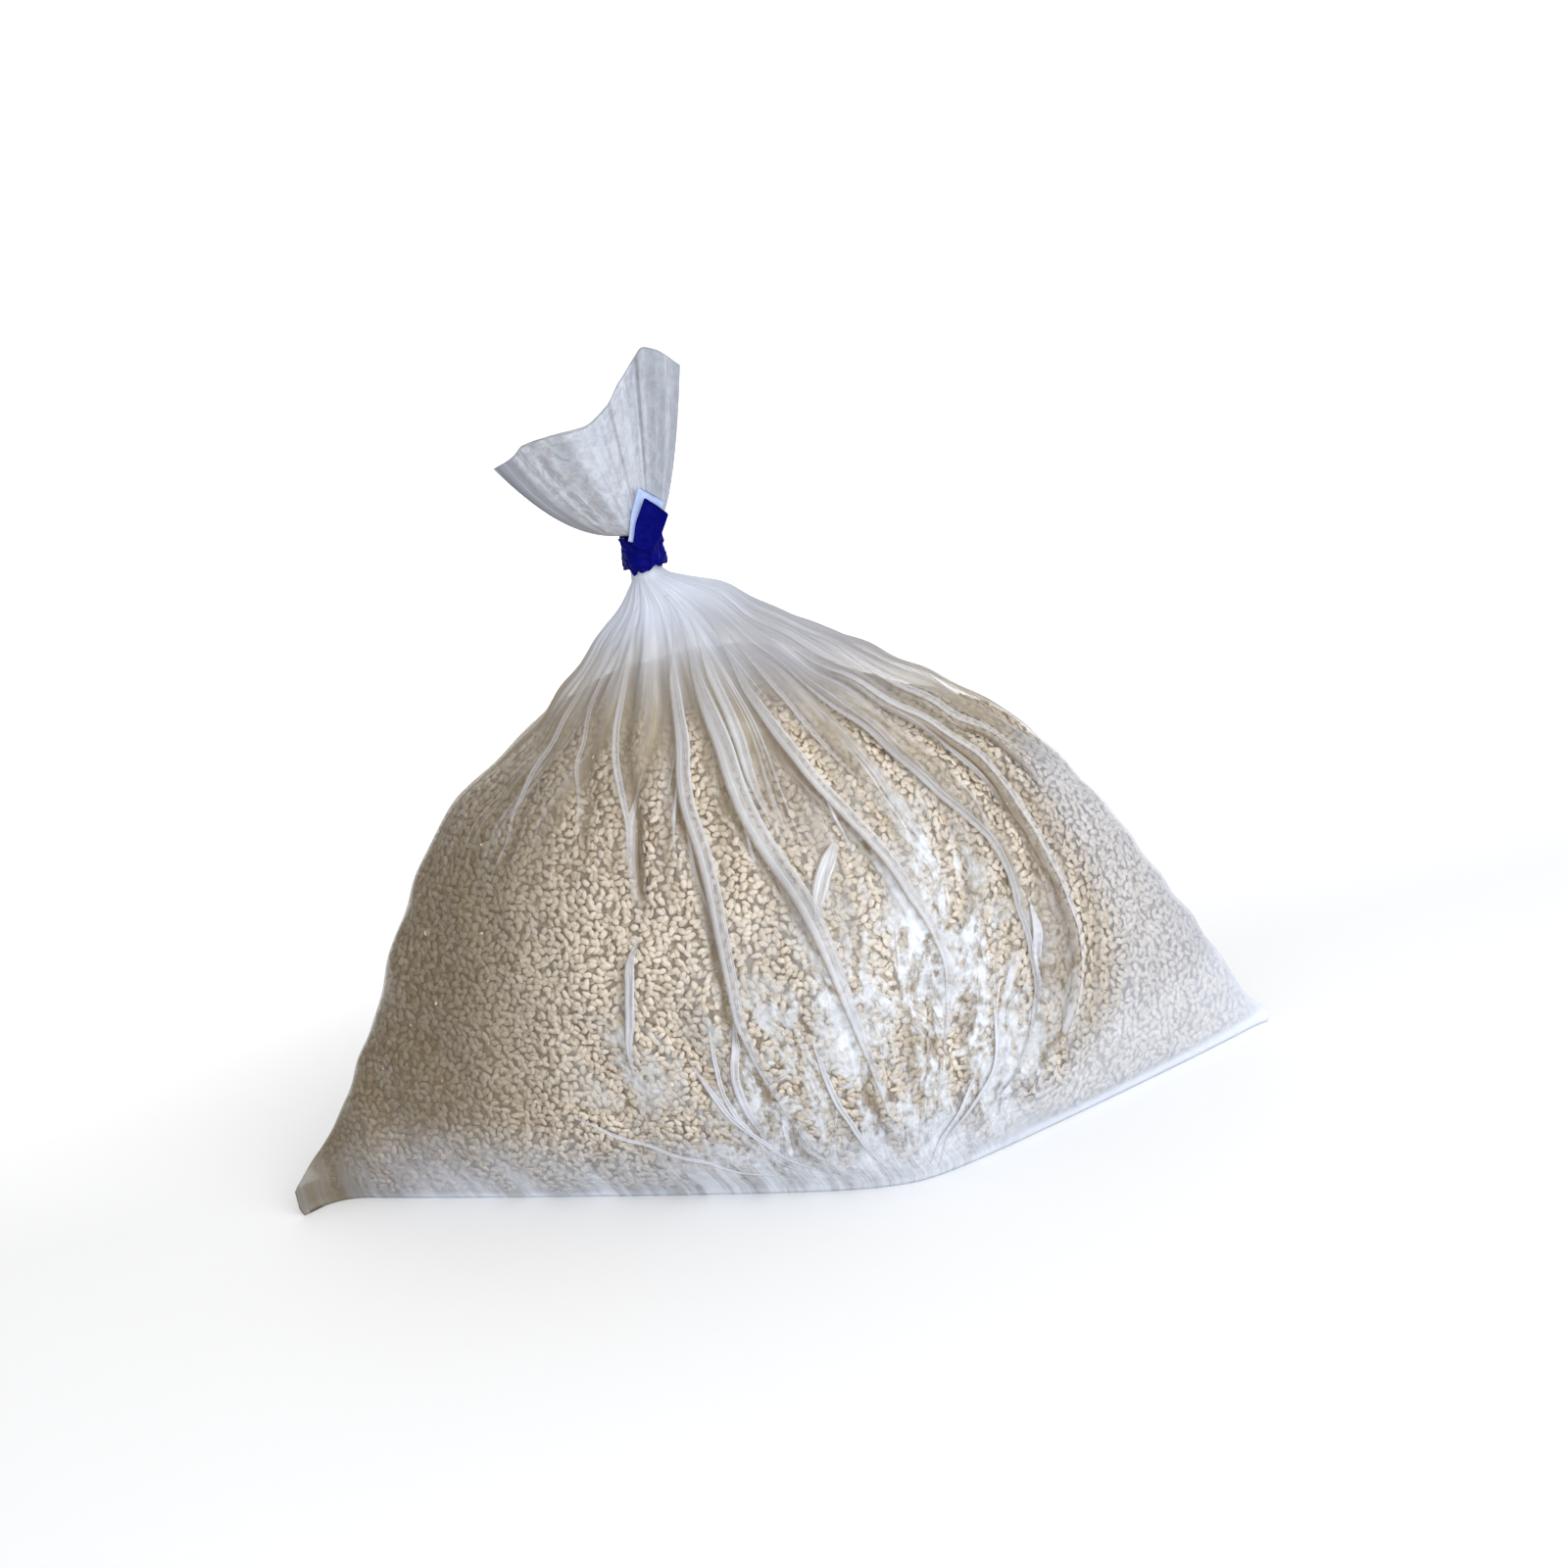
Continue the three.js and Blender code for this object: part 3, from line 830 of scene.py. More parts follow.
def veil_on_belly(film, angle, share, points):
    """How much the film hides: little where it lies on seeds, more where it is gathered, in
    bands along the pull, along the base, at both sides and on the smooth panel."""
    x, z = points[..., 0], points[..., 2]
    line = pull_line(angle, share)
    wide = np.sin(19 * line + 2.2 * np.sin(2 * line + 1) + 1.6 * np.sin(5 * line - 3 * share))
    fine = np.sin(47 * line + 2.5 * np.sin(3 * line + 2) + 4 * share)
    rise = share + 0.05 * ramp(x, 10, 80)
    thick = 0.55 * ramp(rise + 0.04 * wide, 0.5, 0.78) + 0.45 * ramp(rise, 0.7, 0.92)
    veil = mix(film.veil_low, film.veil_high, thick)
    bands = (0.13 * wide + 0.08 * fine) * ramp(rise, 0.46, 0.66) * ramp(0.9 - share, 0, 0.2)
    right = ramp(x, 30, 80)
    low = mix(0.56, 0.84, ramp(x, -90, -20)) * np.clip(1 - z / 28, 0, 1)
    base = mix(low + 0.3 * ramp(3.5 - z, 0, 3), 0.6 * ramp(6 - z, 0, 4.5), right)
    panel = on_panel(angle, share)
    side = 0.22 * bell(turned(angle), 0.25) + 0.3 * bell(turned(angle - math.pi), 0.22)
    panel *= 0.26 + 0.16 * ramp(0.3 - share, 0, 0.3)
    return np.clip(veil + bands + base + panel + side, 0.03, 0.97)


def snow_on_belly(angle, share, x):
    """Whether the haze is the beige of film on seeds (0), the grey of gathered film (1) or
    white (2), as on the smooth panel, under the tape and along the foot."""
    right = ramp(np.cos(angle), -0.2, 0.9)
    rise = ramp(share + 0.12 * right, 0.68, 0.95)
    rise += 0.15 * ramp(share, 0.86, 0.95) * (1 - 0.6 * right)
    foot = (1.6 + 0.4 * ramp(x, -60, 40)) * ramp(0.16 - share, 0, 0.12)
    foot *= 1 - 0.75 * ramp(-x, 105, 140)
    return np.clip(rise + 1.5 * on_panel(angle, share) + foot, 0, 2)


def dusk_on_belly(angle, share):
    """How much painted shade the film takes where it turns to the dim left side of the room,
    fading up in the gathers.
    """
    left = ramp(-np.cos(angle), 0.36, 0.82)
    tip = ramp(-np.cos(angle), 0.86, 0.98)
    return left * ramp(1 - share, 0.02, 0.55) * mix(ramp(share, 0.02, 0.17), 0.9, tip)


def calm_on_belly(angle, share):
    """1 where the film is stretched flat, as on the smooth panel and the lower left, 0 where
    the gathers open, and rising again to 0.8 where they blur together at the neck."""
    left = ramp(-np.cos(angle), 0.2, 0.6) * ramp(0.62 - share, 0, 0.2) * ramp(share, 0.02, 0.14)
    return np.maximum(np.maximum(0.95 * on_panel(angle, share), 0.8 * left),
                      0.45 * ramp(share, 0.5, 0.7) + 0.35 * ramp(share, 0.78, 0.9))


def shine_on_belly(angle, share):
    """Where a painted reflection of the window breaks up on the front: four ovals, strongest
    right of the middle, and a band along the foot. An oval is exp of minus the squares of the
    distances from its middle."""
    def oval(degrees, height, wide, tall):
        return np.exp(-(turned(angle - math.radians(degrees)) / wide) ** 2
                      - ((share - height) / tall) ** 2)

    patch = 1.3 * oval(292, 0.24, 0.34, 0.19) + 1.1 * oval(268, 0.2, 0.2, 0.13)
    patch += 0.9 * oval(249, 0.22, 0.12, 0.09) + 0.7 * oval(302, 0.45, 0.12, 0.1)
    foot = ramp(-np.sin(angle), 0.2, 0.8) * bell(share - 0.06, 0.06)
    foot *= 0.35 + 0.45 * bell(turned(angle - math.radians(282)), 0.35)
    return np.clip(patch + foot, 0, 1) * (1 - on_panel(angle, share))


def fan_on_belly(angle, share):
    """Where fine threads of gathered film run down the front: from the neck to below half
    way, but not on the calm parts."""
    front = ramp(-np.sin(angle), -0.2, 0.3) * (1 - 0.6 * ramp(-np.cos(angle), 0.2, 0.6))
    return front * ramp(share, 0.36, 0.55) * ramp(1 - share, 0, 0.12)


def shade_on_belly(angle, share, points):
    """Painted shade where the film sinks between the seeds: the fold valleys, the creases and,
    right of the middle, streaks between the gathers. The right top of the film takes a little
    painted shade too."""
    _, valley, cover = fold_relief(angle, share, reach_of(points))
    fade = ramp(0.93 - share, 0, 0.2) * ramp(share, 0.02, 0.1)
    creases = 0.75 * grooves(angle, share) * (1 - cover)
    fade *= 1 - 0.5 * ramp(share, 0.5, 0.72)
    front = ramp(-np.sin(angle), 0, 0.3)
    right = front * ramp(turned(angle - BASE_CORNER), -0.25, 0.1) * (1 - on_panel(angle, share))
    line = pull_line(angle, share)
    streaks = ramp(np.sin(21 * line + 2 * np.sin(4 * line - 5 * share)), 0.1, 0.9)
    streaks *= 0.5 * right * ramp(share, 0.04, 0.2) * ramp(0.66 - share, 0, 0.2)
    top = 0.45 * ramp(np.cos(angle), 0.05, 0.5) * ramp(share, 0.62, 0.75)
    top *= ramp(0.97 - share, 0, 0.1)
    sunk_shade = np.clip(valley / 2.6 + creases, 0, 1) * fade
    return np.maximum(np.maximum(sunk_shade, streaks * (1 - cover)), top)


def pull_values(line, share):
    """The values that Shader.pulled reads: the cosine and sine of the line of pull, and the
    way up."""
    return {"pull_x": np.cos(line), "pull_y": np.sin(line), "rise": share + 0 * line}


# ------------------------------------------------------------------ operators


def set_on(piece, material, node=None):
    """Gives a piece its material, and its place in the frame and in the record."""
    piece.data.materials.append(material)
    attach(piece, "root")
    if node:
        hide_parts(node)


class SESAME_OT_heap(Operator):
    """Make the heap's core and the seeds that lie on it"""
    bl_idname = "sesame.heap"
    bl_label = "Heap and seeds"

    GRID = (170, 420)
    # The most seeds in one piece.
    PER_PIECE = 5400
    # The seeds' layers from the film inwards: the share of all seeds, the height of their
    # middles over the core in millimetres, how much they tilt, and how dim painted shade makes
    # them.
    LAYERS = ({"share": 0.46, "height": (0.62, 0.96), "tilt": 0.17, "dim": 0.0},
              {"share": 0.35, "height": (0.22, 0.44), "tilt": 0.22, "dim": 0.3},
              {"share": 0.19, "height": (-0.2, 0.04), "tilt": 0.3, "dim": 0.72})
    # A seed's rings from its blunt end to its tip: the place along its length, and half the
    # width and thickness, as shares of the seed's own. Each ring has SIDES points and starts
    # RING_START of a turn round, so that its first CROWN_POINTS points lie on top.
    RINGS = ((-0.36, 0.38, 0.46), (-0.06, 0.5, 0.5), (0.27, 0.34, 0.44))
    SIDES = 5
    RING_START = 0.15
    CROWN_POINTS = 2

    def execute(self, context):
        seeds = context.scene.sesame_seeds
        angle, share = grid(*self.GRID)
        points = heap_surface(angle, share)
        normals = normals_of(points)
        core = tube("heap_core", points, low_pole=(0, 0, HEAP_FOOT),
                    high_pole=points[-1].mean(0) + (0, 0, 0.3))
        set_on(core, core_material(seeds), "bag")
        rng = np.random.default_rng(seeds.draw)
        shapes = [self.seed_layer(points, normals, seeds, layer, rng) for layer in self.LAYERS]
        dim = [np.full(len(block), layer["dim"]) for block, layer in zip(shapes, self.LAYERS)]
        shapes = np.concatenate(shapes)
        # Painted shade: seeds are dimmer deep down, near the top of the heap and on its left.
        tint = rng.beta(1.6, 1.2, len(shapes)) - np.concatenate(dim)
        tint -= 0.4 * ramp(shapes[:, 0, 2], 75, 115)
        material = seed_material(seeds)
        order = np.argsort(shapes[:, 0, 0], kind="stable")
        pieces = math.ceil(len(order) / self.PER_PIECE)
        for number, batch in enumerate(np.array_split(order, pieces)):
            # Painted shade darkens the seeds towards the left.
            left = ramp(-shapes[batch][:, 0, 0], 55, 112)
            piece = self.seeds_piece(f"seeds_{number + 1}", shapes[batch],
                                     tint[batch] * (1 + 0.3 * left) - 1.15 * left)
            set_on(piece, material, "bag")
        return {"FINISHED"}

    def seed_layer(self, points, normals, seeds, layer, rng):
        """The shapes of one layer's seeds."""
        count = round(seeds.count * layer["share"])
        place, out = self.wound(points, normals, count, rng)
        return self.seed_shapes(place, out, seeds, layer, rng)

    @staticmethod
    def wound(points, normals, count, rng):
        """Evenly spread places: a thread wound round the heap from the foot to the top, its
        turns `lead` apart, with a seed at equal steps of area, each then shaken a little.
        The height comes from the share of area below a seed, the number of turns from the
        way up divided by the lead, and the column from the share of the turn walked."""
        points = np.concatenate([points, points[:, :1]], axis=1)
        normals = np.concatenate([normals, normals[:, :1]], axis=1)
        side = points[1:, :-1] - points[:-1, :-1]
        along = points[:-1, 1:] - points[:-1, :-1]
        area = np.linalg.norm(np.cross(along, side), axis=-1)
        rows, columns = area.shape
        lead = 0.9 * math.sqrt(area.sum() / count)
        below = np.concatenate([[0], np.cumsum(area.sum(1))]) / area.sum()
        climbed = np.concatenate([[0], np.cumsum(area.sum(1) / np.linalg.norm(
            along, axis=-1).sum(1))])
        shake = rng.normal(0, 0.2, (2, count))
        number = np.clip((np.arange(count) + 0.5) / count, 0, 1)
        level = np.interp(number, below, np.arange(rows + 1.0))
        way = np.interp(level, np.arange(rows + 1.0), climbed)
        around = np.linalg.norm(along, axis=-1).sum(1)[np.minimum(level.astype(int), rows - 1)]
        turn = (way / lead + shake[0] * lead / around) % 1
        level = np.interp(way + shake[1] * lead, climbed, np.arange(rows + 1.0))
        row = np.minimum(level.astype(int), rows - 1)
        walked = np.cumsum(np.linalg.norm(along, axis=-1), axis=1)
        walked /= walked[:, -1:]
        found = np.searchsorted((walked + np.arange(rows)[:, None]).ravel(),
                                turn * (1 - 1e-9) + row)
        column = np.clip(found - row * columns, 0, columns - 1)
        u, v = rng.random((count, 1)), (level - row)[:, None]

        def between(values):
            low = mix(values[row, column], values[row, column + 1], u)
            high = mix(values[row + 1, column], values[row + 1, column + 1], u)
            return mix(low, high, v)

        return between(points), between(normals)

    @staticmethod
    def seed_shapes(place, out, seeds, layer, rng):
        """Every seed's points: rings between a blunt end and a tip, each an ellipse squared
        off by powers of its cosine and sine, turned flat to the film with a random tilt and
        spin, and lifted where it would reach below the floor."""
        count = len(place)
        sides = SESAME_OT_heap.SIDES
        around = (np.arange(sides) / sides + SESAME_OT_heap.RING_START) * TURN
        flat, high = np.cos(around), np.sin(around)
        flat, high = np.sign(flat) * np.abs(flat) ** 0.6, np.sign(high) * np.abs(high) ** 0.5
        rings = [np.stack([np.full(sides, x), w * flat, t * high], -1)
                 for x, w, t in SESAME_OT_heap.RINGS]
        form = np.concatenate([[(-0.5, 0, 0)], *rings, [(0.52, 0, 0)]])
        size = np.array([seeds.length, seeds.width, seeds.thickness]) / MM
        scale = rng.normal(1, (0.08, 0.08, 0.12), (count, 3)).clip(0.78, 1.22) * size
        up = out + rng.normal(0, layer["tilt"], (count, 3))
        up /= np.linalg.norm(up, axis=1, keepdims=True)
        level_way = np.cross(up, (0.0, 0.0, 1.0)) + (1e-3, 0, 0)
        level_way /= np.linalg.norm(level_way, axis=1, keepdims=True)
        steep_way = np.cross(up, level_way)
        spin = rng.uniform(0, TURN, count)[:, None]
        long_way = np.cos(spin) * level_way + np.sin(spin) * steep_way
        wide_way = np.cross(up, long_way)
        centre = place + out * rng.uniform(*layer["height"], count)[:, None]
        body = form[None] * scale[:, None]
        shapes = (centre[:, None] + body[..., :1] * long_way[:, None]
                  + body[..., 1:2] * wide_way[:, None] + body[..., 2:] * up[:, None])
        shapes[..., 2] += np.maximum(-shapes[..., 2].min(axis=1), 0)[:, None]
        return shapes

    @classmethod
    def seeds_piece(cls, name, shapes, tint):
        """One mesh of many seeds: a fan at both ends and bands of triangles between rings."""
        column = np.arange(cls.SIDES)
        beside = (column + 1) % cls.SIDES
        last = 1 + cls.SIDES * (len(cls.RINGS) - 1)
        one = [np.stack([0 * column, 1 + beside, 1 + column], -1),
               np.stack([0 * column + last + cls.SIDES, last + column, last + beside], -1)]
        for ring in range(len(cls.RINGS) - 1):
            low, high = 1 + ring * cls.SIDES, 1 + (ring + 1) * cls.SIDES
            one.append(np.stack([low + column, low + beside, high + beside], -1))
            one.append(np.stack([low + column, high + beside, high + column], -1))
        points = shapes.shape[1]
        faces = (np.concatenate(one) + points * np.arange(len(shapes))[:, None, None])
        # A seed's top points form its crown; the rest take the painted edge shade.
        on_top = np.tile(column < cls.CROWN_POINTS, len(cls.RINGS))
        crown = np.concatenate([[0], on_top, [0]])
        return new_piece(name, shapes.reshape(-1, 3), [faces.reshape(-1, 3)],
                         values={"tint": np.repeat(tint, points),
                                 "crown": np.tile(crown, len(shapes))})


class SESAME_OT_belly(Operator):
    """Make the film round the heap"""
    bl_idname = "sesame.belly"
    bl_label = "Film belly"

    GRID = (178, 480)
    SOLE = 0.97

    def execute(self, context):
        film = context.scene.sesame_film
        angle, share = grid(*self.GRID)
        points = film_surface(angle, share)
        neck_angle = angle[:2]
        neck = np.stack([NECK_X + NECK_RADIUS * np.cos(neck_angle),
                         NECK_RADIUS * np.sin(neck_angle),
                         np.array([[NECK_BOTTOM], [FILM_END]]) + 0 * neck_angle], -1)
        # shine holds the painted glare, and shade and dusk the painted shade.
        values = {"veil": veil_on_belly(film, angle, share, points),
                  "shine": shine_on_belly(angle, share),
                  "shade": shade_on_belly(angle, share, points),
                  "snow": snow_on_belly(angle, share, points[..., 0]),
                  "dusk": dusk_on_belly(angle, share),
                  "calm": calm_on_belly(angle, share),
                  "fan": fan_on_belly(angle, share) * (1 - calm_on_belly(angle, share)),
                  **pull_values(pull_line(angle, share), share)}
        values = {label: np.concatenate([rows[:1], rows, rows[-1:], rows[-1:]])
                  for label, rows in values.items()}
        # The underside closes from a ring without the ears, so that it stays below the film.
        sole = belly_point(angle[:1], share[:1]) * (self.SOLE, self.SOLE, 0)
        belly = tube("film_belly", np.concatenate([sole, points, neck]), low_pole=(0, 0, 0),
                     high_pole=(NECK_X, 0, FILM_END), values=values)
        set_on(belly, film_material(film), "bag")
        return {"FINISHED"}


class SESAME_OT_folds(Operator):
    """Lay the doubled folds of film down the belly"""
    bl_idname = "sesame.folds"
    bl_label = "Film folds"

    GRID = (400, 720)
    ROWS = 110

    def execute(self, context):
        material = fold_material()
        angle, share = grid(*self.GRID)
        film = film_surface(angle, share)
        normals = normals_of(film)
        for name, bend in FOLDS.items():
            piece = self.fold_piece(name, bend, film, normals)
            set_on(piece, material, "bag")
        return {"FINISHED"}

    def fold_piece(self, name, bend, film, normals):
        """A pressed-flat tube of film along the fold, swelling from a point to its width and
        back to a point."""
        top, bottom = bend["path"][0][0], bend["path"][-1][0]
        share = np.linspace(bottom + 0.01, top - 0.01, self.ROWS)
        angle = fold_angle(bend, share)
        path, lift = self.sample(film, angle, share), self.sample(normals, angle, share)
        lift /= np.linalg.norm(lift, axis=1, keepdims=True)
        along = np.gradient(path, axis=0)
        across = np.cross(along, lift)
        across /= np.linalg.norm(across, axis=1, keepdims=True)
        along = (share - bottom) / (top - bottom)
        swell = ramp(along, 0, 0.45) * ramp(1 - along, 0, 0.3) * ramp(1 - share, -0.15, 0.35)
        width = bend["width"] * (0.12 + 0.88 * swell)
        rings = flat_tube(path + 0.15 * lift, across, lift, width, 0.12 + 0.2 * swell)
        rings[..., 2] = np.maximum(rings[..., 2], 0)
        milk = bend["milk"] * (0.3 + 0.7 * swell) * (0.3 + 0.7 * ramp(1 - share, 0.06, 0.32))
        return tube(f"fold_{name}", rings, low_pole=path[0], high_pole=path[-1],
                    values={"milk": milk[:, None] + np.zeros(rings.shape[1]),
                            "rise": share[:, None] + np.zeros(rings.shape[1])})

    @staticmethod
    def sample(values, angle, share):
        """Values of a grid between its points, at the given angles and shares."""
        rows, columns = values.shape[:2]
        r, c = share * (rows - 1), (angle % TURN) / TURN * columns
        row = np.minimum(r.astype(int), rows - 2)
        column = c.astype(int) % columns
        beside = (column + 1) % columns
        u, v = (c - c.astype(int))[:, None], (r - row)[:, None]
        return mix(mix(values[row, column], values[row, beside], u),
                   mix(values[row + 1, column], values[row + 1, beside], u), v)


class SESAME_OT_tail(Operator):
    """Make the pleated fan of film above the tape"""
    bl_idname = "sesame.tail"
    bl_label = "Film tail"

    GRID = (60, 320)
    # The inner layer stops this many rows short of the neck.
    OPEN_ROWS = 4

    def execute(self, context):
        film = context.scene.sesame_film
        angle, share = grid(*self.GRID)
        outer = self.tail_point(angle, share, TAIL["gap"])
        inner = self.tail_point(angle, share, TAIL["gap"] - TAIL["wall"])[::-1]
        mouth = inner[:-self.OPEN_ROWS]

        def both(values):
            return np.concatenate([values, values[::-1][:-self.OPEN_ROWS]])

        across = np.cos(angle)
        front = ramp(-np.sin(angle), -0.1, 0.1)
        right = ramp(across, 0.52, 0.6)
        under = bell(across + 1, 0.16) * ramp(share, 0.1, 0.5)
        gathered = ramp(0.3 - share, 0, 0.3)
        rim = ramp(share, 0.965, 0.995)
        pleat = np.sin(13 * across + 2 * np.sin(3 * across) + 2 * share)
        # The tail's shine is painted glare and its shade painted shade, most on its right and
        # underside.
        values = {"veil": 0.42 + 0.3 * gathered + 0.05 * pleat + 0.2 * rim,
                  "shine": (0.3 - 0.12 * right) * front * ramp(across, -0.95, -0.7),
                  "shade": (0.8 * right + 0.5 * under + 0.3 * (1 - right)
                            + 0.42 * ramp(-0.2 - across, 0, 0.5)),
                  "snow": 1 - 0.5 * ramp(-0.1 - across, 0, 0.6),
                  "dusk": 0 * share,
                  "calm": 0.6 + 0 * share,
                  "fan": 0.35 * front * ramp(share, 0, 0.3),
                  **pull_values(angle, share)}
        tail = tube("film_tail", np.concatenate([outer, mouth]),
                    low_pole=(NECK_X, 0, NECK_TOP - 1), high_pole=mouth[-1].mean(0),
                    values={label: both(numbers) for label, numbers in values.items()})
        set_on(tail, film_material(film, "tail_film", TAIL_SHADE), "bag")
        return {"FINISHED"}

    @staticmethod
    def tail_point(angle, share, gap):
        """Each column climbs from the neck to its place on the rim, x and y faster than z
        towards both ends. The two layers lie `gap` from the fan's middle and share its
        pleats, which are three cosines across the fan, a bulge and a step to its right."""
        across = np.cos(angle)
        neck = (NECK_X + NECK_RADIUS * across, NECK_RADIUS * np.sin(angle), NECK_TOP)
        flare = mix(TAIL["left_flare"], 1, ramp(across, -1.2, 0.3))
        flare = mix(flare, TAIL["right_flare"], ramp(across, 0.3, 1))
        outwards = share ** flare
        side = np.sign(np.sin(angle))
        pleat = (0.7 * np.cos(7 * across + np.sin(4 * across))
                 + 0.35 * np.cos(19 * across + 2 * np.sin(5 * across) + side)
                 + 0.2 * np.cos(43 * across + 3 * np.sin(7 * across) - side))
        pleat += 2.2 * bell(across - 0.5, 0.1) * ramp(share, 0, 0.4) - 1.5 * ramp(across, 0.5, 0.6)
        aside = gap * np.sin(angle) + pleat
        rim = {name: smooth_through(across, RIM["at"], RIM[name]) for name in "xyz"}
        return np.stack([mix(neck[0], rim["x"], outwards),
                         mix(neck[1], rim["y"] + aside, outwards),
                         mix(neck[2], rim["z"], share)], -1)


class SESAME_OT_tape(Operator):
    """Wind the blue tape round the neck"""
    bl_idname = "sesame.tape"
    bl_label = "Tape"

    def execute(self, context):
        tape = context.scene.sesame_tape
        fleck = tuple(1.6 * c + 0.004 for c in tape.blue)
        blue = tape_material("blue_tape", tuple(tape.blue), fleck)
        pale = tape_material("tape_back", tuple(tape.back), TAPE_BACK_FLECK)
        set_on(self.band(), blue, "neck_tape")
        front = self.flag("tape_end_front", root=(-12, 175.5), tip=(-5.8, 186.3), slant=1.0,
                          front=-6.9, teeth=1.0)
        set_on(front, blue, "neck_tape")
        back = self.flag("tape_end_back", root=(-12.7, 177), tip=(-6.5, 189.6), slant=0.9,
                         front=-5.9, teeth=0.0)
        set_on(back, pale, "neck_tape")
        return {"FINISHED"}

    @staticmethod
    def band():
        """A crumpled ring: its section goes up the outside and down the inside, the radius
        wanders with the lumps, and the lower edge is ragged."""
        columns = 160
        up = np.concatenate([np.linspace(0, 1, 30), np.linspace(1, 0, 8)])
        out = np.concatenate([np.ones(30), np.zeros(8)])
        angle = np.arange(columns) * TURN / columns
        angle, up = np.meshgrid(angle, up)
        out = out[:, None]
        ring = np.stack([np.cos(angle), np.sin(angle), 0.9 * up], -1)
        crumple = waves(ring * 6, 4.2, 12, 8) * 0.38 + waves(ring * 6, 1.7, 12, 9) * 0.16
        wrap = 0.3 * ramp(np.sin(3 * math.pi * up + angle), -0.1, 0.1)
        radius = mix(TAPE_INNER, TAPE_OUTER - 0.3 + wrap + crumple, out)
        ragged = 0.7 * waves(ring * 6 * (1, 1, 0), 2.6, 9, 4)
        z = mix(TAPE_BOTTOM + 0.7 + ragged, TAPE_TOP + 0.4 * ragged, up)
        points = np.stack([NECK_X + radius * np.cos(angle), radius * np.sin(angle), z], -1)
        return tube("tape_band", points)

    @staticmethod
    def flag(name, root, tip, slant, front, teeth):
        """One end of the tape: a flat strip from root to tip, given as x and z, cut on a slant
        with small teeth, curled a little across. front is its y."""
        rows, columns, width, thickness = 40, 44, 7.5, 0.3
        root, tip = np.array(root, float), np.array(tip, float)
        length = np.linalg.norm(tip - root)
        along = (tip - root) / length
        across = np.array([along[1], -along[0]])
        around = np.arange(columns) * TURN / columns
        flat = np.sign(np.cos(around)) * np.abs(np.cos(around)) ** 0.35
        thick = np.sign(np.sin(around)) * np.abs(np.sin(around)) ** 0.35
        share = np.linspace(0, 1, rows)[:, None]
        cut = length - slant * flat + 0.28 * teeth * np.abs((flat * 7) % 2 - 1)
        reach = share * cut
        pinch = mix(0.72, 1, ramp(share, 0, 0.55))
        plan = (root + reach[..., None] * along
                + (0.5 * width * pinch * flat)[..., None] * across)
        curl = 0.9 * flat ** 2 * share + 0.5 * np.sin(3 * share) * flat
        y = front + 0.5 * thickness * thick - curl
        points = np.stack([plan[..., 0], y, plan[..., 1]], -1)
        return tube(name, points, low_pole=points[0].mean(0), high_pole=points[-1].mean(0))


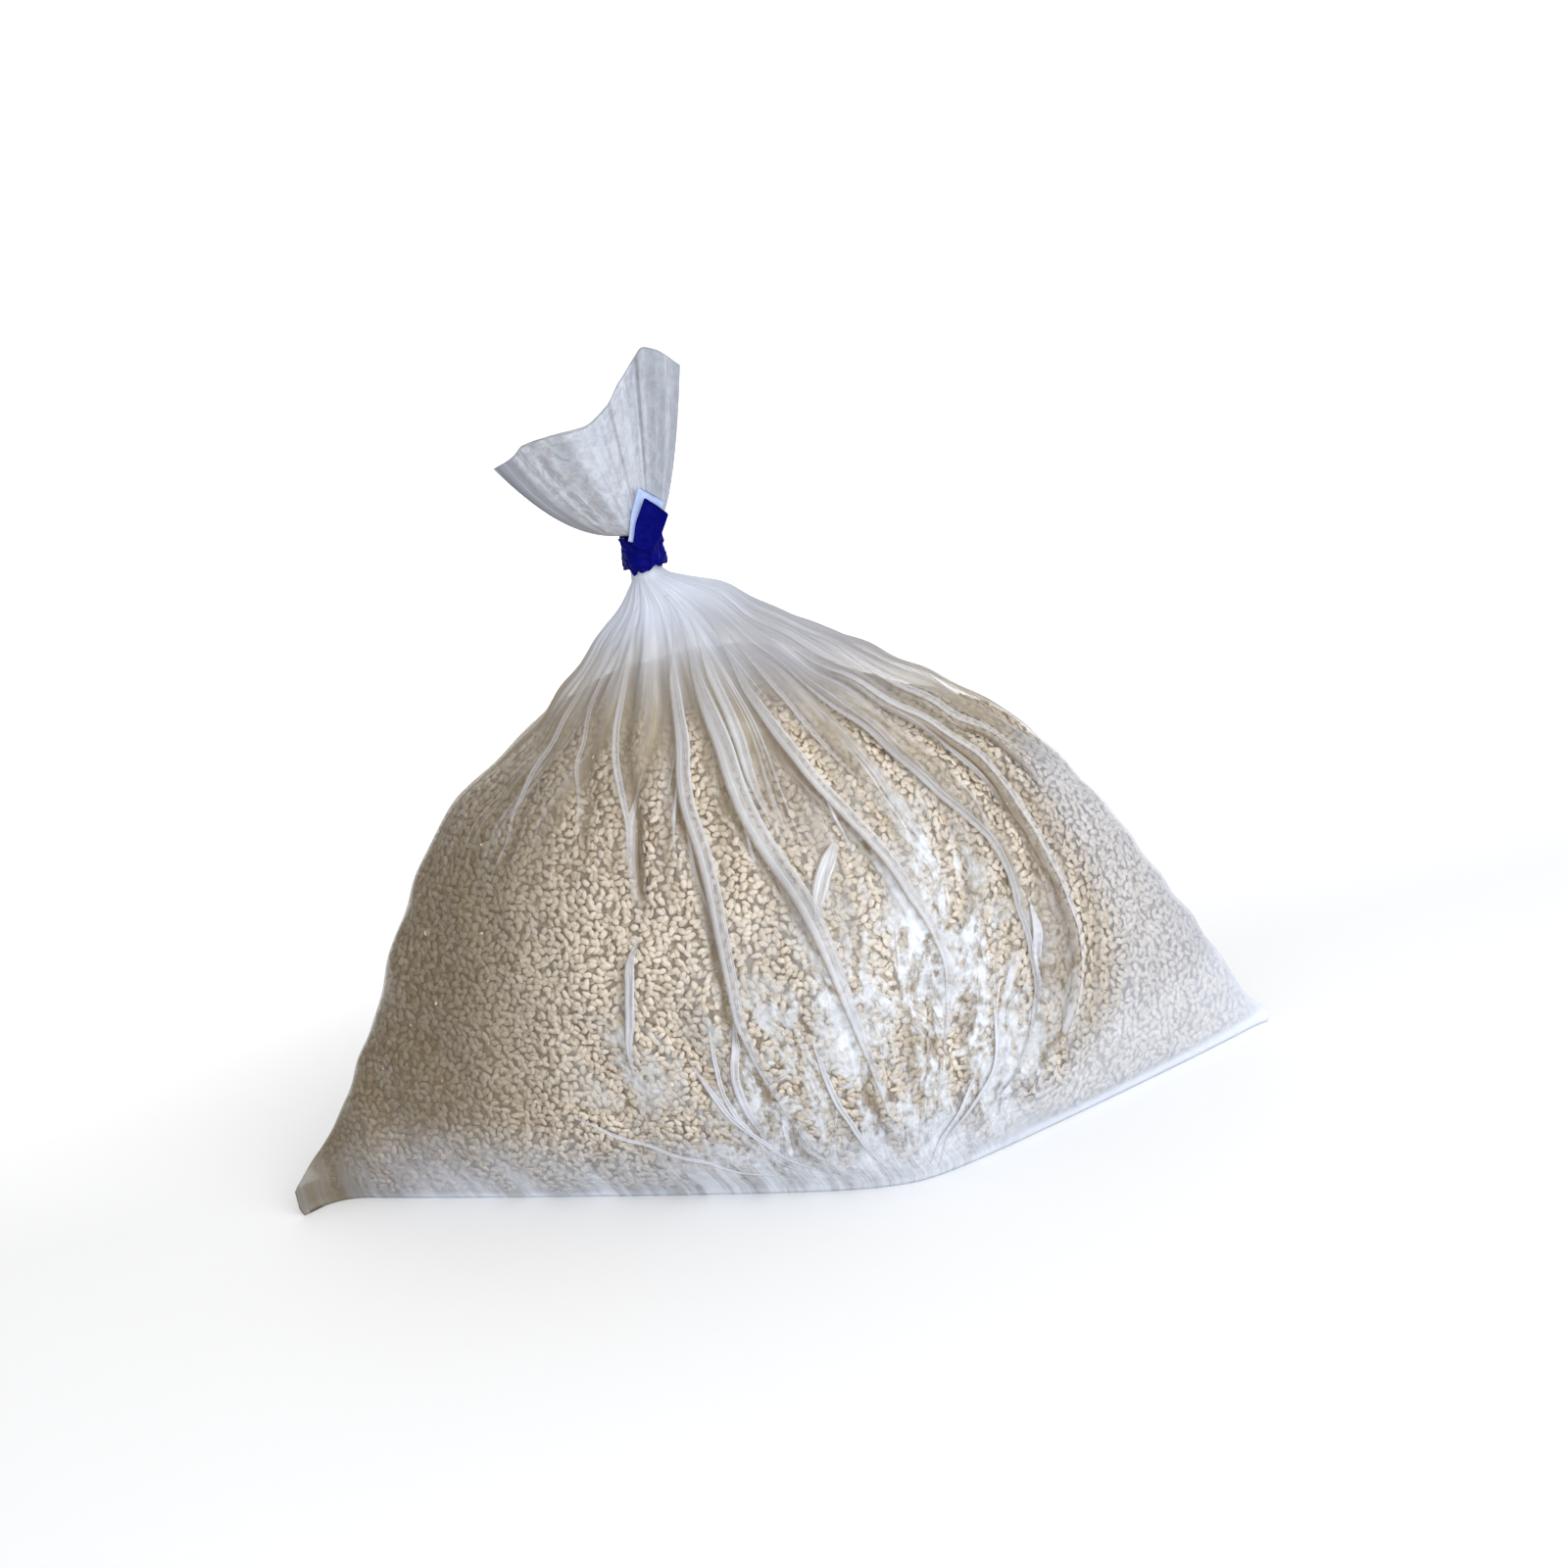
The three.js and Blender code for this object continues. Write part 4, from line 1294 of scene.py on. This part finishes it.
class SESAME_OT_stage(Operator):
    """Make the floor, the lights and the camera"""
    bl_idname = "sesame.stage"
    bl_label = "Stage"

    # The floor's reach to each side and to the front, its bend up into the backdrop, and
    # how high the backdrop is.
    FLOOR_REACH, BEND_RADIUS, BEND_START, WALL_HEIGHT = 12000, 900, 1300, 3200

    # The camera's target and distance in millimetres, its angles in degrees, and its lens.
    TARGET = (13.93, 0, 100.7)
    ELEVATION, ROLL, DISTANCE = 18.5, 10.64, 620
    FOCUS, SENSOR = 50.57, 36
    # Place and target of each light in millimetres, its size in metres and its colour.
    LIGHTS = {
        "window": ((420, -760, 330), (0, 0, 80), 1.1, (0.92, 0.96, 1.0)),
        "sky": ((0, -100, 1500), (0, 100, 0), 2.4, (1.0, 0.96, 0.9)),
        "wall": ((200, 700, 1100), (0, 2000, 350), 1.6, (1.0, 1.0, 1.0)),
        "back": ((-300, 1100, 700), (0, 0, 60), 1.2, (1.0, 0.98, 0.95)),
        "fill": ((-700, -700, 300), (0, 0, 80), 0.8, (1.0, 0.86, 0.64)),
    }

    def execute(self, context):
        stage = context.scene.sesame_stage
        self.floor(stage)
        for name, (place, target, size, colour) in self.LIGHTS.items():
            self.light(name, place, target, size, getattr(stage, name), colour)
        world = bpy.data.worlds.new("studio")
        world.use_nodes = True
        background = world.node_tree.nodes["Background"]
        background.inputs["Color"].default_value = (0.96, 0.97, 1.0, 1)
        background.inputs["Strength"].default_value = stage.ambient
        context.scene.world = world
        context.scene.view_settings.view_transform = "Standard"
        self.camera(context)
        return {"FINISHED"}

    @classmethod
    def floor(cls, stage):
        """A flat floor that sweeps up into a backdrop through a quarter circle."""
        radius, back = cls.BEND_RADIUS, cls.BEND_START
        bend = np.linspace(0, math.pi / 2, 24)
        y = np.concatenate([[-cls.FLOOR_REACH], back + radius * np.sin(bend), [back + radius]])
        z = np.concatenate([[0], radius * (1 - np.cos(bend)), [cls.WALL_HEIGHT]])
        x = np.array([-cls.FLOOR_REACH, cls.FLOOR_REACH])
        points = np.stack([np.broadcast_to(x, (len(y), 2)), np.repeat(y[:, None], 2, 1),
                           np.repeat(z[:, None], 2, 1)], -1)
        row = np.arange(len(y) - 1)
        faces = np.stack([2 * row, 2 * row + 1, 2 * row + 3, 2 * row + 2], -1)
        piece = new_piece("floor", points.reshape(-1, 3), [faces])
        shader = Shader("floor")
        tone = shader.mixed(shader.noise(shader.place(), 3), tuple(stage.floor),
                            tuple(0.985 * c for c in stage.floor))
        piece.data.materials.append(shader.finish(Base_Color=tone, Roughness=0.9))
        piece.visible_diffuse = False

    @staticmethod
    def light(name, place, target, size, power, colour):
        data = bpy.data.lights.new(name, "AREA")
        data.size = size
        data.energy = power
        data.color = colour
        lamp = bpy.data.objects.new(name, data)
        start, end = Vector(to_frame(place)), Vector(to_frame(target))
        lamp.location = start
        lamp.rotation_euler = (end - start).to_track_quat("-Z", "Y").to_euler()
        bpy.context.scene.collection.objects.link(lamp)

    def camera(self, context):
        data = bpy.data.cameras.new("camera")
        data.lens, data.sensor_width = self.FOCUS, self.SENSOR
        data.clip_start, data.clip_end = 0.01, 50
        camera = bpy.data.objects.new("camera", data)
        lean = math.radians(self.ELEVATION)
        target = Vector(to_frame(self.TARGET))
        camera.location = target + self.DISTANCE * MM * Vector((0, -math.cos(lean),
                                                                math.sin(lean)))
        upright = Matrix.Rotation(math.pi / 2 - lean, 4, "X")
        rolled = upright @ Matrix.Rotation(-math.radians(self.ROLL), 4, "Z")
        camera.rotation_euler = rolled.to_euler()
        context.scene.collection.objects.link(camera)
        context.scene.camera = camera


PIECES = (SESAME_OT_heap, SESAME_OT_belly, SESAME_OT_folds, SESAME_OT_tail, SESAME_OT_tape,
          SESAME_OT_stage)
SETTINGS = {"sesame_film": FilmSettings, "sesame_seeds": SeedSettings,
            "sesame_tape": TapeSettings, "sesame_stage": StageSettings}


class SESAME_PT_panel(Panel):
    """Lists the steps and their settings"""
    bl_label = "Sesame bag"
    bl_idname = "SESAME_PT_panel"
    bl_space_type = "VIEW_3D"
    bl_region_type = "UI"
    bl_category = "Sesame bag"

    def draw(self, context):
        for step in PIECES:
            self.layout.operator(step.bl_idname)
        for name, group in SETTINGS.items():
            box = self.layout.box()
            for key in group.__annotations__:
                box.prop(getattr(context.scene, name), key)


CLASSES = (*SETTINGS.values(), *PIECES, SESAME_PT_panel)


def register():
    for item in CLASSES:
        bpy.utils.register_class(item)
    for name, group in SETTINGS.items():
        setattr(bpy.types.Scene, name, PointerProperty(type=group))


def unregister():
    for name in SETTINGS:
        delattr(bpy.types.Scene, name)
    for item in reversed(CLASSES):
        bpy.utils.unregister_class(item)


def main():
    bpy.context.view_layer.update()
    register()
    for step in PIECES:
        group, name = step.bl_idname.split(".")
        getattr(getattr(bpy.ops, group), name)()


if __name__ == "__main__":
    main()
